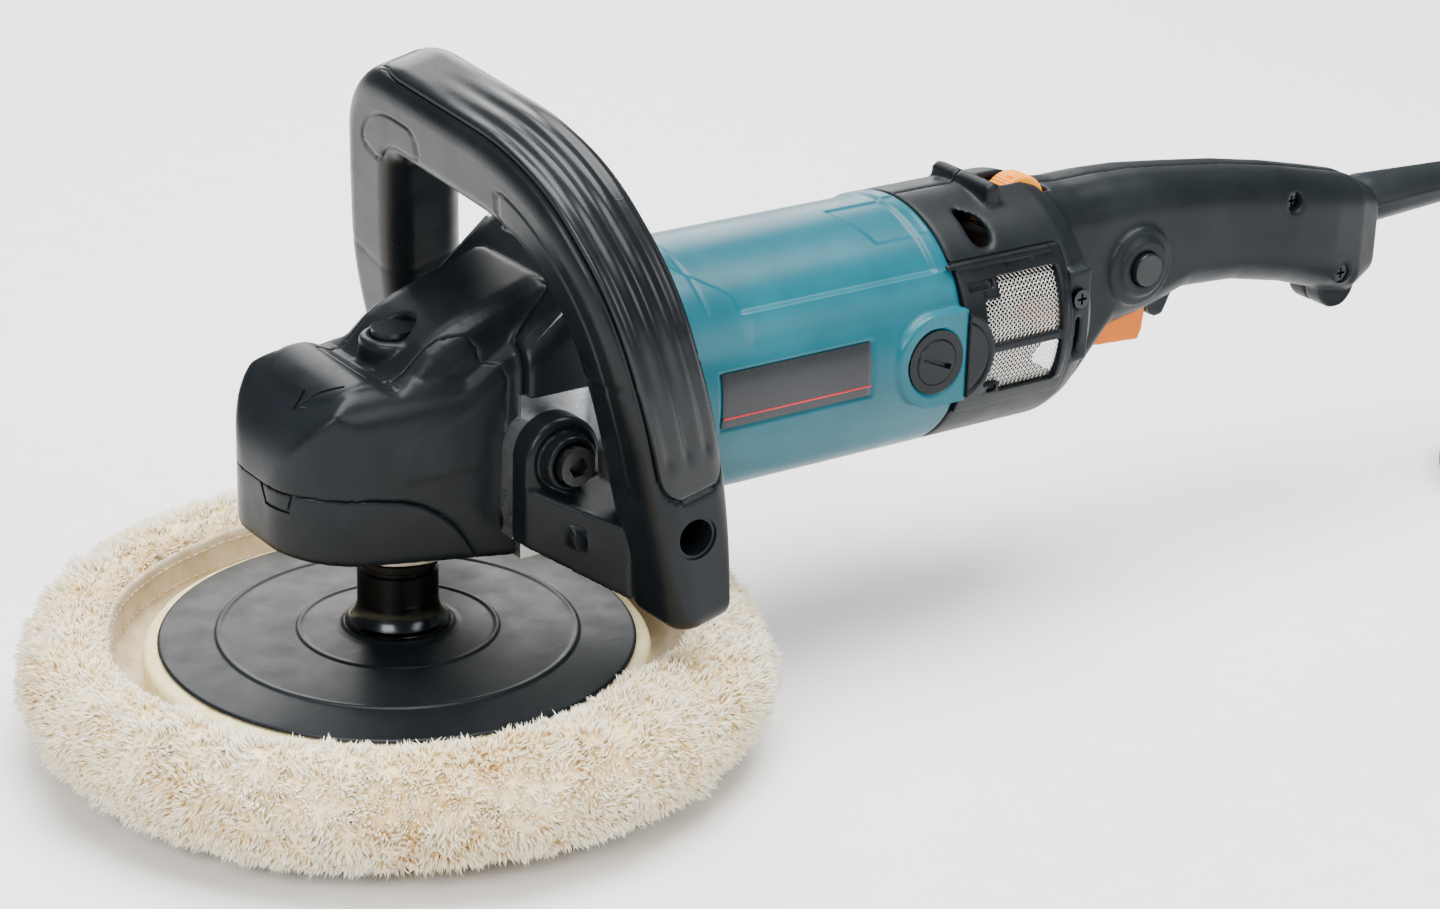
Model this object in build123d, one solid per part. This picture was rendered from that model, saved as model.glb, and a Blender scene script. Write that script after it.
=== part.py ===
from build123d import *
import math
import os

# Corded rotary polisher with a loop handle and a wool pad.
# Frame: origin on the spindle axis at the wool's working face, +X towards the
# rear handle, +Y towards the operator's right, +Z up.  Millimetres.

# ---------------------------------------------------------------- dimensions
PAD_R = 77.5            # rubber backing pad
RING_R = 82.3           # foam and hook ring under the backing pad
RING_TOP = 32.2
RING_BOTTOM = 17.5
LINING_R = 93.0         # inside of the leather skirt of the wool bonnet
LINING_T = 1.6
LINING_TOP = 36.8
LINING_BOTTOM = RING_BOTTOM - 2.3
WOOL_R = 121.0
WOOL_TOP = 40.5

SPINDLE_R = 7.0
HUB_R = 13.2
HUB_TOP = 62.5
PAD_TOP = 38.5          # where the pad's rubber meets its hub

MOTOR_Z = 107.0         # height of the motor's axis
MOTOR_R = 44.3          # motor housing outside
MOTOR_WALL = 3.3
MOTOR_X0 = 62.0
MOTOR_X1 = 194.5
FIELD_X0 = 96.0         # iron core of the motor
FIELD_X1 = 146.0
BRUSH_X = 181.5         # carbon brushes, commutator and brush caps
LAY_Z = 130.0           # height of the intermediate shaft

BEVEL_GEAR_TEETH = 38
BEVEL_PINION_TEETH = 15
BEVEL_GEAR_R = 22.8     # pitch radius at the wide end
BEVEL_PINION_R = BEVEL_GEAR_R * BEVEL_PINION_TEETH / BEVEL_GEAR_TEETH
BEVEL_SHRINK = 0.68     # narrow end of the bevel teeth against the wide end
BEVEL_TOOTH_SHARE = 0.7     # of half a tooth pitch, thinned for backlash
SPUR_GEAR_TEETH = 40
SPUR_PINION_TEETH = 10
SPUR_MODULE = (LAY_Z - MOTOR_Z) * 2 / (SPUR_GEAR_TEETH + SPUR_PINION_TEETH)
SPUR_ADDENDUM = 0.55
SPUR_DEDENDUM = 0.95
SPUR_BACKLASH = 0.28

HEAD_HALF = 30.0        # half width of the gear head
HEAD_FRONT = -50.0
HEAD_REAR = 27.0
HEAD_TOP = 131.0
HEAD_CORNER = 23.0      # plan radius of the nose's front corners
HEAD_ROUND = 12.0       # soft edge along the nose's top
COLLAR_HALF = 36.0      # half width of the collar behind the head
COLLAR_REAR = 60.0
CASTING_HALF = 33.0     # bare casting under the collar
COVER_T = 2.5           # covers over the gear housing
SCREW_CIRCLE = 38.5     # four screws join the gear and motor housings
SCREW_ANGLES = (45, 135, 225, 315)
RETAINER_CIRCLE = 19.5
EAR_X = 33.5            # bolt of the loop handle's arm
EAR_Z = 104.0
EAR_FACE = 37.0

LOCK_X = -1.0           # spindle lock on top of the neck
LOCK_STEM_X = 0.3       # its stem and spring
LOCK_HOLE_R = 5.6       # circle of the locking holes in the bevel gear
LOCK_PIN_R = 1.8
LOCK_CAP_R = 6.9
LOCK_CAP_Z = 136.0      # underside of its cap
LOCK_FLOOR = 128.5      # bottom of its pocket

LOOP_Y = 75.0           # each leg of the loop handle from the middle
LOOP_X = 57.6           # where its plane crosses LOOP_Z
LOOP_Z = 84.0
LOOP_LEAN = 13.0        # degrees, top towards the nose
LEAN = math.radians(LOOP_LEAN)
LOOP_SPLIT = 58.0       # legs end at this height in the loop's plane
LOOP_DEPTH = 30.0       # section along X
LOOP_THICK = 32.0       # section in the loop's plane
LOOP_ROUND = 10.0
GRIP_T = 2.2            # soft grip let into the loop
GRIP_FOOT = 20.0        # height of the grip's lower end in the loop's plane, left leg
GRIP_END_Y = 34.0       # its other end, where the top turns down to the right leg
ACCESSORY_X = 54.0      # blind hole in the outside of each leg
ACCESSORY_Z = 89.0
ACCESSORY_R = 6.0

SHELL_T = 2.8           # plastic handle shells
# (x, lowest z, highest z, half width) along the rear handle
HANDLE_STATIONS = [
    (250, 66.0, 146.0, 20.0), (268, 70.0, 144.2, 19.5), (284, 88.0, 144.4, 19.0),
    (302, 91.0, 143.6, 18.5), (322, 96.5, 141.3, 18.0), (348, 94.8, 138.0, 17.5),
    (374, 89.3, 133.2, 17.5), (394, 83.0, 128.6, 17.0), (409, 79.0, 125.0, 15.0),
    (421, 84.0, 119.0, 11.0),
]
HANDLE_SCREWS = [(371.0, 123.5), (400.5, 90.0)]
LOCK_BUTTON = (293.0, 113.5)    # (x, z) of the lock-on button
LOCK_BUTTON_R = 6.05
TRIGGER_PIVOT = (262.0, 93.0)
PIN_R = 2.0
DIAL = (246.0, 140.5)
DIAL_R = 10.8
FILTER_BOX = (194.6, 241.0, 84.0, 136.0)    # x0, x1, z0, z1
WINDOW_BOX = (204.0, 238.0, 89.5, 130.5)
SIDE_SCREW = (245.0, 117.5)

FIT = 0.05              # radial running clearance

CORD_D = 8.0
GUARD_X0 = 402.0
COIL_AT = (496.0, -56.0)
COIL_R = 44.0           # middle of the turns
COIL_LAYERS = 4
PLUG_Y = COIL_AT[1] - COIL_R - CORD_D / 2
PLUG_X = 462.0
CORD_POINTS = [
    (475, 0, 112), (504, 0, 112), (530, 0, 95), (541, -8, 66), (544, -26, 43), (544, -50, 30),
    (544, -68, 28),
]
CORD_EXIT = CORD_POINTS[0]


# ------------------------------------------------------------------- helpers
def cyl_x(x0, x1, r, y=0.0, z=0.0):
    """Cylinder along X between x0 and x1."""
    return Pos((x0 + x1) / 2, y, z) * Rot(0, 90, 0) * Cylinder(r, abs(x1 - x0))


def cyl_y(y0, y1, r, x=0.0, z=0.0):
    """Cylinder along Y between y0 and y1."""
    return Pos(x, (y0 + y1) / 2, z) * Rot(90, 0, 0) * Cylinder(r, abs(y1 - y0))


def cyl_z(z0, z1, r, x=0.0, y=0.0):
    """Cylinder along Z between z0 and z1."""
    return Pos(x, y, (z0 + z1) / 2) * Cylinder(r, abs(z1 - z0))


def block(x0, x1, y0, y1, z0, z1):
    """Box between two corners."""
    middle = Pos((x0 + x1) / 2, (y0 + y1) / 2, (z0 + z1) / 2)
    return middle * Box(abs(x1 - x0), abs(y1 - y0), abs(z1 - z0))


def side_prism(points, y0, y1):
    """A side outline of (x, z) points, as thick as y0 to y1."""
    outline = Plane.XZ * make_face(Polyline(*points, close=True))
    return Pos(0, y1, 0) * extrude(outline, amount=y1 - y0)


def plan_prism(points, z0, z1):
    """A plan outline of (x, y) points between two heights."""
    return Pos(0, 0, z0) * extrude(make_face(Polyline(*points, close=True)), amount=z1 - z0)


def turned_z(points):
    """Solid turned about Z from (radius, z) points."""
    return revolve(Plane.XZ * make_face(Polyline(*points, close=True)), Axis.Z)


def turned_x(points, z=0.0):
    """Solid turned about the X axis at height z from (x, radius) points."""
    outline = Plane.XZ * make_face(Polyline(*points, close=True))
    return Pos(0, 0, z) * revolve(outline, Axis.X)


def both_sides(solid):
    """A left-hand solid and its mirror image on the right."""
    return [solid, mirror(solid, about=Plane.XZ)]


def largest(shape):
    """The main solid of a cut shape, without loose slivers."""
    return shape.solids().sort_by(SortBy.VOLUME)[-1]


def write(name, solids):
    """One STEP file for one named node."""
    solids = solids if isinstance(solids, list) else [solids]
    pieces = [s for item in solids for s in item.solids()]
    shape = pieces[0] if len(pieces) == 1 else Compound(children=pieces)
    shape.label = name
    export_step(shape, "parts/" + name + ".step")


def gear_outline(teeth, pitch_r, tip_r, root_r, thickness, turn=0.0):
    """Straight-flanked gear outline; thickness is the tooth's at the pitch circle."""
    points = []
    for k in range(teeth):
        middle = math.radians(turn + 360.0 * k / teeth)
        for r, side in ((root_r, -1), (tip_r, -1), (tip_r, 1), (root_r, 1)):
            half = thickness / 2 - (r - pitch_r) * 0.38
            angle = middle + side * half / r
            points.append((r * math.cos(angle), r * math.sin(angle)))
    return Polyline(*points, close=True)


# --------------------------------------------------- outside of the gear head
# Side outlines, (x, z).
def nose_solid(inset):
    """The head in front of the collar, set in from the outer skin."""
    side = [
        (HEAD_FRONT + inset, 78 + inset), (HEAD_REAR, 66.3 + inset), (HEAD_REAR, HEAD_TOP - inset),
        (-4, HEAD_TOP - inset), (-14, 127.5 - inset), (-22, 130.5 - inset),
        (-38 + inset / 2, 124.5 - inset), (-47 + inset, 112 - inset / 2), (HEAD_FRONT + inset, 102),
    ]
    half = HEAD_HALF - inset
    length = HEAD_REAR - HEAD_FRONT
    front = Pos((HEAD_FRONT + HEAD_REAR + inset) / 2, 0, 60) * extrude(
        RectangleRounded(length - inset, 2 * half, HEAD_CORNER - inset), amount=90
    )
    square_rear = block(0, HEAD_REAR, -half, half, 60, 150)
    depth = 100
    section = Plane.YZ * Pos(0, HEAD_TOP - inset - depth / 2) * RectangleRounded(
        2 * half, depth, HEAD_ROUND
    )
    soft_top = Pos(HEAD_FRONT - 10, 0, 0) * extrude(section, amount=length + 20)
    return side_prism(side, -half, half) & (front + square_rear) & soft_top


def head_envelope(inset):
    """Nose, neck and collar as one solid, set in from the outer skin."""
    neck_side = [
        (-18 + inset, 100), (-18 + inset, 125 - inset), (-8, 130.5 - inset), (0, 138 - inset),
        (10, 143.5 - inset), (22, 148 - inset), (42, 154.5 - inset), (42, 100),
    ]
    shoulder_side = [(-14, 100), (-14, 122 - inset), (8, 127 - inset), (28, 140 - inset), (28, 100)]
    collar_side = [
        (HEAD_REAR + inset / 3, 121.6), (HEAD_REAR + inset / 3, 139 - inset), (53, 160 - inset),
        (58, 162 - inset), (COLLAR_REAR, 162 - inset), (COLLAR_REAR, 126),
    ]
    shoulder_half = HEAD_HALF - inset
    collar_half = COLLAR_HALF - inset
    solid = nose_solid(inset) + side_prism(neck_side, -23 + inset, 23 - inset)
    solid += side_prism(shoulder_side, -shoulder_half, shoulder_half)
    return solid + side_prism(collar_side, -collar_half, collar_half)


def casting_block():
    """Outside of the aluminium gear housing, under its covers."""
    side = [(26, 66.3), (COLLAR_REAR, 66.3), (COLLAR_REAR, 128), (26, 122)]
    solid = head_envelope(COVER_T) + side_prism(side, -CASTING_HALF, CASTING_HALF)
    solid += cyl_x(56, MOTOR_X0, MOTOR_R - 1.5, z=MOTOR_Z)
    ear = cyl_y(-EAR_FACE, -HEAD_HALF, 13, x=EAR_X, z=EAR_Z)
    ear += block(20.5, 46.5, -EAR_FACE, -HEAD_HALF, 76, EAR_Z)
    for side_ear in both_sides(ear):
        solid += side_ear
    return solid


def screw_places():
    """(y, z) of the four screws that join the gear and motor housings."""
    places = []
    for angle in SCREW_ANGLES:
        y = SCREW_CIRCLE * math.cos(math.radians(angle))
        z = MOTOR_Z + SCREW_CIRCLE * math.sin(math.radians(angle))
        places.append((y, z))
    return places


def retainer_places():
    """(x, y) of the four screws in the bearing retainer."""
    return [
        (RETAINER_CIRCLE * math.cos(math.radians(a)), RETAINER_CIRCLE * math.sin(math.radians(a)))
        for a in SCREW_ANGLES
    ]


def lock_pocket():
    """Room for the spindle lock: a wide pocket for the cap and a guide bore for its pin."""
    wide = cyl_z(LOCK_FLOOR, 170, LOCK_CAP_R + 0.1, x=LOCK_X)
    return wide + cyl_z(118, LOCK_FLOOR + 1, LOCK_PIN_R + FIT, x=-LOCK_HOLE_R)


def neck_corner():
    """Left upper corner of the casting, cut away where the covers' edges are round."""
    corner = [(-22, 0.5), (-16.5, 0.5), (-22, -6.5)]
    line = [(-16, 123.6), (-8, 128.4), (0, 135.8), (10, 141.3), (26.5, 147.4)]
    face = Plane.YZ * make_face(Polyline(*corner, close=True))
    return loft([Pos(x, 0, z) * face for x, z in line], ruled=True)


# ------------------------------------------------------------- gear housing
def make_gear_housing():
    casting = casting_block()
    # spindle bearing seat, gear chamber and shaft openings
    casting -= cyl_z(60, 70.1, 21.4) + cyl_z(60, 79.5, 20)
    casting -= cyl_z(79, 90.5, 17.5)
    casting -= cyl_z(90, 105, 12)
    casting -= turned_z([(0, 104.5), (25.4, 104.5), (25.4, 121.4), (18.2, 124.6), (0, 124.6)])
    casting -= cyl_x(10, 29, 11.4, z=LAY_Z)
    casting -= cyl_x(29, 37.5, 11.0, z=LAY_Z)
    casting -= cyl_x(37, 45, 8, z=LAY_Z)
    casting -= cyl_x(44, MOTOR_X0 + 1, 20.2, z=LAY_Z)
    casting -= cyl_x(44, MOTOR_X0 + 1, 8, z=MOTOR_Z)
    casting -= lock_pocket()
    for corner in both_sides(neck_corner()):
        casting -= corner
    for y, z in screw_places():
        casting -= cyl_x(20, 53.8, 4.4, y=y, z=z)
        casting -= cyl_x(53, MOTOR_X0 + 1, 2.6, y=y, z=z)
    for x, y in retainer_places():
        casting -= cyl_z(79, 92, 1.6, x=x, y=y)
    for hole in both_sides(cyl_y(-38, -21.5, 4.0, x=EAR_X, z=EAR_Z)):
        casting -= hole
    return largest(casting)


def skirt_region():
    """Space of the lower nose piece: below the nose's parting line and an arch at its side."""
    arch = [
        (-60, 60), (12.5, 60), (12.5, 66), (7, 77), (-2, 87), (-14, 93.5), (-26, 96.5),
        (-40, 98.5), (-60, 99.5),
    ]
    return side_prism(arch, -60, 60)


def neck_region():
    """Space of the top cover: above its seam on the nose and along the sides."""
    outline = [
        (-18.5, 118), (-14, 122), (4, 126.5), (16, 123), (HEAD_REAR, 111), (HEAD_REAR, 170),
        (-18.5, 170),
    ]
    plate = plan_prism([(26.9, -25.6), (42, -21.7), (42, 21.7), (26.9, 25.6)], 135, 170)
    return side_prism(outline, -50, 50) + plate


def make_head_covers():
    """Nose cover, lower skirt, neck cover and collar cover."""
    skin = head_envelope(0) - casting_block()
    skin -= block(HEAD_REAR - 0.05, 70, -60, 60, 50, 121.6)
    skin -= block(COLLAR_REAR - 0.1, 80, -60, 60, 50, 170)
    # spindle opening below, lock opening above, window onto the casting at the back
    skin -= cyl_z(50, 90, 21.5)
    skin -= cyl_z(110, 170, LOCK_CAP_R + 0.1, x=LOCK_X)
    skin -= block(51, 61, -20, 20, 145, 170)
    skirt = skin & skirt_region()
    rest = skin - skirt_region()
    neck = rest & neck_region()
    rest -= neck_region()
    nose = rest & block(-60, HEAD_REAR - 0.05, -60, 60, 50, 170)
    collar = rest & block(HEAD_REAR - 0.05, COLLAR_REAR, -60, 60, 50, 170)
    return largest(nose), largest(skirt), largest(neck), largest(collar)


# ------------------------------------------------------- spindle and gearing
def bearing(inner, outer, length):
    """Plain ring for a ball bearing, along Z from z = 0."""
    return cyl_z(0, length, outer) - cyl_z(-1, length + 1, inner)


def make_spindle():
    shaft = cyl_z(PAD_TOP, 79, SPINDLE_R) + cyl_z(79, 90.5, 7.5) + cyl_z(90.5, 105, 8.5)
    return shaft + cyl_z(105, 118.5, 4.5)


def bevel_outline(teeth, pitch_r, tip, root):
    """Tooth outline at the wide end of a bevel gear."""
    thickness = math.pi * pitch_r / teeth * BEVEL_TOOTH_SHARE
    return gear_outline(teeth, pitch_r, pitch_r + tip, pitch_r - root, thickness)


def make_bevel_gear():
    wide = LAY_Z - BEVEL_PINION_R
    outline = bevel_outline(BEVEL_GEAR_TEETH, BEVEL_GEAR_R, 1.3, 2.3)
    lower = Pos(0, 0, wide) * outline
    upper = Pos(0, 0, LAY_Z - BEVEL_PINION_R * BEVEL_SHRINK) * scale(outline, by=BEVEL_SHRINK)
    gear = loft([make_face(lower), make_face(upper)], ruled=True)
    # the teeth run out 0.9 mm below their wide end, clear of the pinion's tips
    gear += extrude(make_face(lower), amount=-0.9)
    gear += cyl_z(108, wide - 0.9, BEVEL_GEAR_R + 1.3) + cyl_z(105, 108, 14)
    gear -= cyl_z(wide + 0.2, LAY_Z, BEVEL_GEAR_R * BEVEL_SHRINK - 2.6)
    for k in range(4):
        gear -= Rot(0, 0, 90 * k) * cyl_z(118.7, wide + 1, 2.1, x=LOCK_HOLE_R)
    return gear - cyl_z(100, 118.5, 4.5)


def make_bevel_pinion():
    outline = Rot(0, 0, 90.0) * bevel_outline(BEVEL_PINION_TEETH, BEVEL_PINION_R, 0.7, 1.2)
    wide = Plane(origin=(BEVEL_GEAR_R, 0, LAY_Z), x_dir=(0, 1, 0), z_dir=(1, 0, 0))
    slim_x = BEVEL_GEAR_R * BEVEL_SHRINK
    slim = Plane(origin=(slim_x, 0, LAY_Z), x_dir=(0, 1, 0), z_dir=(1, 0, 0))
    slim_face = make_face(slim * scale(outline, by=BEVEL_SHRINK))
    body = loft([slim_face, make_face(wide * outline)], ruled=True)
    body += cyl_x(BEVEL_GEAR_R, 28.5, 7.0, z=LAY_Z)
    return body - cyl_x(10, 30, 4.0, z=LAY_Z)


def spur_outline(teeth, turn):
    pitch_r = SPUR_MODULE * teeth / 2
    thickness = math.pi * SPUR_MODULE / 2 - SPUR_BACKLASH
    return gear_outline(
        teeth, pitch_r, pitch_r + SPUR_ADDENDUM, pitch_r - SPUR_DEDENDUM, thickness, turn=turn
    )


def make_helical_gear():
    face = Plane(origin=(47, 0, LAY_Z), x_dir=(0, 1, 0), z_dir=(1, 0, 0))
    outline = spur_outline(SPUR_GEAR_TEETH, -90.0 + 180.0 / SPUR_GEAR_TEETH)
    gear = extrude(make_face(face * outline), amount=10)
    web_r = SPUR_MODULE * SPUR_GEAR_TEETH / 2 - 3.5
    gear -= cyl_x(46, 49, web_r, z=LAY_Z) - cyl_x(45, 50, 8, z=LAY_Z)
    return gear - cyl_x(40, 60, 5.0, z=LAY_Z)


def make_intermediate_shaft():
    shaft = cyl_x(16, 29, 4.0, z=LAY_Z) + cyl_x(29, 38, 5.0 - FIT, z=LAY_Z)
    return shaft + cyl_x(38, 60, 5.0, z=LAY_Z) + cyl_x(60, 67.5, 4.0 - FIT, z=LAY_Z)


def make_armature_shaft():
    face = Plane(origin=(46.5, 0, MOTOR_Z), x_dir=(0, 1, 0), z_dir=(1, 0, 0))
    shaft = extrude(make_face(face * spur_outline(SPUR_PINION_TEETH, 90.0)), amount=11.5)
    return shaft + cyl_x(58, 203, 4.0 - FIT, z=MOTOR_Z)


# ------------------------------------------------------------ motor assembly
def make_gear_plate():
    plate = cyl_x(MOTOR_X0, 67, MOTOR_R - MOTOR_WALL, z=MOTOR_Z)
    plate += cyl_x(67, 71, 14, z=MOTOR_Z)
    plate -= cyl_x(62.5, 72, 11.0, z=MOTOR_Z)
    plate -= cyl_x(60, 63, 7.0, z=MOTOR_Z)
    plate -= cyl_x(61, 66, 8.0, z=LAY_Z)
    plate -= cyl_x(61, 68, 4.4, z=LAY_Z)
    for y, z in screw_places():
        plate -= cyl_x(60, 80, 5.2, y=y, z=z)
    return plate


def make_motor_housing():
    tube = cyl_x(MOTOR_X0, MOTOR_X1, MOTOR_R, z=MOTOR_Z)
    boss = cyl_y(-45, -36, 15.4, x=BRUSH_X, z=MOTOR_Z) & block(160, MOTOR_X1, -50, 0, 80, 130)
    for side_boss in both_sides(boss):
        tube += side_boss
    tube -= cyl_x(MOTOR_X0 - 1, MOTOR_X1 - 3, MOTOR_R - MOTOR_WALL, z=MOTOR_Z)
    for y, z in screw_places():
        post = cyl_x(MOTOR_X0, 92, 5.2, y=y, z=z)
        tube += post & cyl_x(60, 95, MOTOR_R - 0.5, z=MOTOR_Z)
        tube -= cyl_x(MOTOR_X0 - 1, 88, 2.2, y=y, z=z)
    # rear wall: bearing cup on a bridge with two air windows
    tube += cyl_x(191.5, 203, 14, z=MOTOR_Z)
    tube -= cyl_x(195, 204, 11.0, z=MOTOR_Z)
    tube -= cyl_x(190, 196, 6.0, z=MOTOR_Z)
    windows = block(190, 196, -26, 26, MOTOR_Z + 17, MOTOR_Z + 36)
    windows += block(190, 196, -26, 26, MOTOR_Z - 36, MOTOR_Z - 17)
    tube -= windows & cyl_x(189, 197, 38, z=MOTOR_Z)
    # top panel set in by a millimetre, behind the front band
    step = cyl_x(91, 188, MOTOR_R + 2, z=MOTOR_Z) - cyl_x(90, 189, MOTOR_R - 0.8, z=MOTOR_Z)
    tube -= step & block(90, 189, -50, 50, 135, 160)
    # seats of the brush holders and of the side plates
    for cut in both_sides(cyl_y(-50, -36, 9.5, x=BRUSH_X, z=MOTOR_Z)):
        tube -= cut
    for cut in both_sides(cyl_y(-50, -42.5, 11.3, x=BRUSH_X, z=MOTOR_Z)):
        tube -= cut
    for cut in both_sides(side_plate()):
        tube -= cut
    return largest(tube)


def side_plate():
    """Blank name plate let into the side of the motor housing."""
    ring = cyl_x(95, 156, MOTOR_R + 0.3, z=MOTOR_Z) - cyl_x(94, 157, MOTOR_R - 0.9, z=MOTOR_Z)
    return ring & block(95, 156, -50, -20, 99.5, 118.5)


def make_field_core():
    core = cyl_x(FIELD_X0, FIELD_X1, 34, z=MOTOR_Z)
    core -= cyl_x(FIELD_X0 - 1, FIELD_X1 + 1, 22.5, z=MOTOR_Z)
    window = block(FIELD_X0 - 1, FIELD_X1 + 1, -30.5, -20, MOTOR_Z - 8, MOTOR_Z + 8)
    for side_window in both_sides(window):
        core -= side_window
    rib = block(FIELD_X0, FIELD_X1, -4, 4, 33, 41)
    for turn in (0, 90, 180, 270):
        core += Pos(0, 0, MOTOR_Z) * Rot(turn, 0, 0) * rib
    return core & cyl_x(FIELD_X0, FIELD_X1, MOTOR_R - MOTOR_WALL, z=MOTOR_Z)


def make_field_coils():
    coils = []
    for x0, x1 in ((FIELD_X0 - 8, FIELD_X0), (FIELD_X1, FIELD_X1 + 8)):
        coils.append(cyl_x(x0, x1, 32, z=MOTOR_Z) - cyl_x(x0 - 1, x1 + 1, 24, z=MOTOR_Z))
    return coils


def make_armature_core():
    core = cyl_x(FIELD_X0, FIELD_X1, 21.8, z=MOTOR_Z)
    for k in range(12):
        turn = Pos(0, 0, MOTOR_Z) * Rot(30 * k, 0, 0)
        core -= turn * block(FIELD_X0 - 1, FIELD_X1 + 1, -0.9, 0.9, 20, 23)
    core += cyl_x(FIELD_X0 - 7, FIELD_X0, 17, z=MOTOR_Z)
    core += cyl_x(FIELD_X1, FIELD_X1 + 9, 17, z=MOTOR_Z)
    return core - cyl_x(80, 160, 4.0 - FIT, z=MOTOR_Z)


def make_commutator():
    drum = cyl_x(173, 190, 13.5, z=MOTOR_Z) + cyl_x(170, 173, 15, z=MOTOR_Z)
    for k in range(12):
        turn = Pos(0, 0, MOTOR_Z) * Rot(30 * k + 15, 0, 0)
        drum -= turn * block(169, 191, -0.3, 0.3, 12.3, 16)
    return drum - cyl_x(160, 195, 4.0 - FIT, z=MOTOR_Z)


def make_cooling_fan():
    hub = cyl_x(73.5, 85, 9, z=MOTOR_Z)
    fan = hub + cyl_x(73.5, 75.5, 31, z=MOTOR_Z)
    for k in range(12):
        turn = Pos(0, 0, MOTOR_Z) * Rot(30 * k, 0, 0)
        fan += turn * block(75.4, 85, -0.8, 0.8, 8, 31)
    return fan - cyl_x(70, 90, 4.0 - FIT, z=MOTOR_Z)


# ------------------------------------------------------------ carbon brushes
def make_brush_holder():
    body = cyl_y(-42.6, -17.5, 9.4, x=BRUSH_X, z=MOTOR_Z)
    body += cyl_y(-45.6, -42.5, 11.2, x=BRUSH_X, z=MOTOR_Z)
    body -= block(BRUSH_X - 3.3, BRUSH_X + 3.3, -39, -17, MOTOR_Z - 5.6, MOTOR_Z + 5.6)
    return body - cyl_y(-46, -38.9, 8.2, x=BRUSH_X, z=MOTOR_Z)


def make_carbon_brush():
    return block(BRUSH_X - 3.2, BRUSH_X + 3.2, -29, -13.8, MOTOR_Z - 5.5, MOTOR_Z + 5.5)


def make_brush_spring():
    wire = Helix(pitch=2.2, height=8.4, radius=2.4)
    start = Plane(origin=wire @ 0, z_dir=wire % 0)
    coil = sweep(start * Circle(0.35), path=wire, is_frenet=True)
    return Pos(BRUSH_X, -29.5, MOTOR_Z) * Rot(90, 0, 0) * coil


def make_brush_cap():
    cap = cyl_y(-46.2, -39.0, 8.1, x=BRUSH_X, z=MOTOR_Z)
    slot = block(BRUSH_X - 6.2, BRUSH_X + 6.2, -47, -44.4, MOTOR_Z - 0.9, MOTOR_Z + 0.9)
    return cap - slot


# ---------------------------------------------------------------- rear shells
def handle_loft(inset):
    """Rear handle as a loft through its stations, set in from the outer skin."""
    sections = []
    for x, low, high, half in HANDLE_STATIONS:
        if x == HANDLE_STATIONS[-1][0]:
            x -= inset
        plane = Plane(origin=(x, 0, (low + high) / 2), x_dir=(0, 1, 0), z_dir=(1, 0, 0))
        width = 2 * (half - inset)
        height = high - low - 2 * inset
        sections.append(plane * RectangleRounded(width, height, min(width, height) * 0.36))
    return loft(sections, ruled=True)


def barrel(inset):
    """Round shell behind the motor housing, open towards it when set in."""
    r = MOTOR_R - inset
    front = MOTOR_X1 - min(inset, 1.0)
    points = [
        (front, 0), (front, r), (244, r), (250, r - 2), (255, r - 6), (259, r - 12),
        (262.5, r - 20), (264.5 - inset, r - 30), (264.5 - inset, 0),
    ]
    return turned_x(points, z=MOTOR_Z)


def rear_outside():
    shape = barrel(0) + handle_loft(0)
    shape += cyl_y(-9, 9, 9.0, x=405, z=82.5)
    # finger stop behind the trigger, ridge in front of the dial, pads of the side screws
    shape += side_prism([(305, 98), (309, 89), (312.5, 87), (316, 87.4), (321, 98)], -9.5, 9.5)
    shape += side_prism([(221, 140), (221.5, 153.8), (224, 155.2), (227, 154.4), (229, 140)], -19, 13)
    for pad in both_sides(block(239.5, 251, -42.5, -30, 93.5, 127.5)):
        shape += pad
    return shape


def ring_sector(r0, r1, box):
    """Part of a tube round the motor's axis in front of a side window, left side."""
    x0, x1, z0, z1 = box
    tube = cyl_x(x0, x1, r1, z=MOTOR_Z) - cyl_x(x0 - 1, x1 + 1, r0, z=MOTOR_Z)
    return tube & block(x0, x1, -60, 0, z0, z1)


def make_filter_clip():
    """Half-round latch that holds the front of a filter frame."""
    disc = cyl_y(-46.6, -43.8, 15.9, x=190, z=106.7)
    return disc & block(MOTOR_X1 + 0.1, 206, -50, -40, 85, 125)


def make_filter_screen():
    x0, x1, z0, z1 = WINDOW_BOX
    return ring_sector(MOTOR_R - 1.8, MOTOR_R - 0.8, (x0 - 1, x1 + 1, z0 - 1, z1 + 1))


def make_filter_frame():
    frame = ring_sector(MOTOR_R - SHELL_T, MOTOR_R + 1.4, FILTER_BOX)
    frame -= ring_sector(MOTOR_R - 10, MOTOR_R + 5, WINDOW_BOX)
    x0, x1 = WINDOW_BOX[:2]
    frame += ring_sector(MOTOR_R - 0.8, MOTOR_R + 0.9, (x0, x1, 105.0, 108.0))
    return largest(frame - make_filter_clip() - make_filter_screen())


def side_screw_hole():
    """Clearance hole and head seat of the screw behind the left filter."""
    x, z = SIDE_SCREW
    return cyl_y(-50, -30, 2.1, x=x, z=z) + cyl_y(-50, -42.4, 3.6, x=x, z=z)


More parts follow.
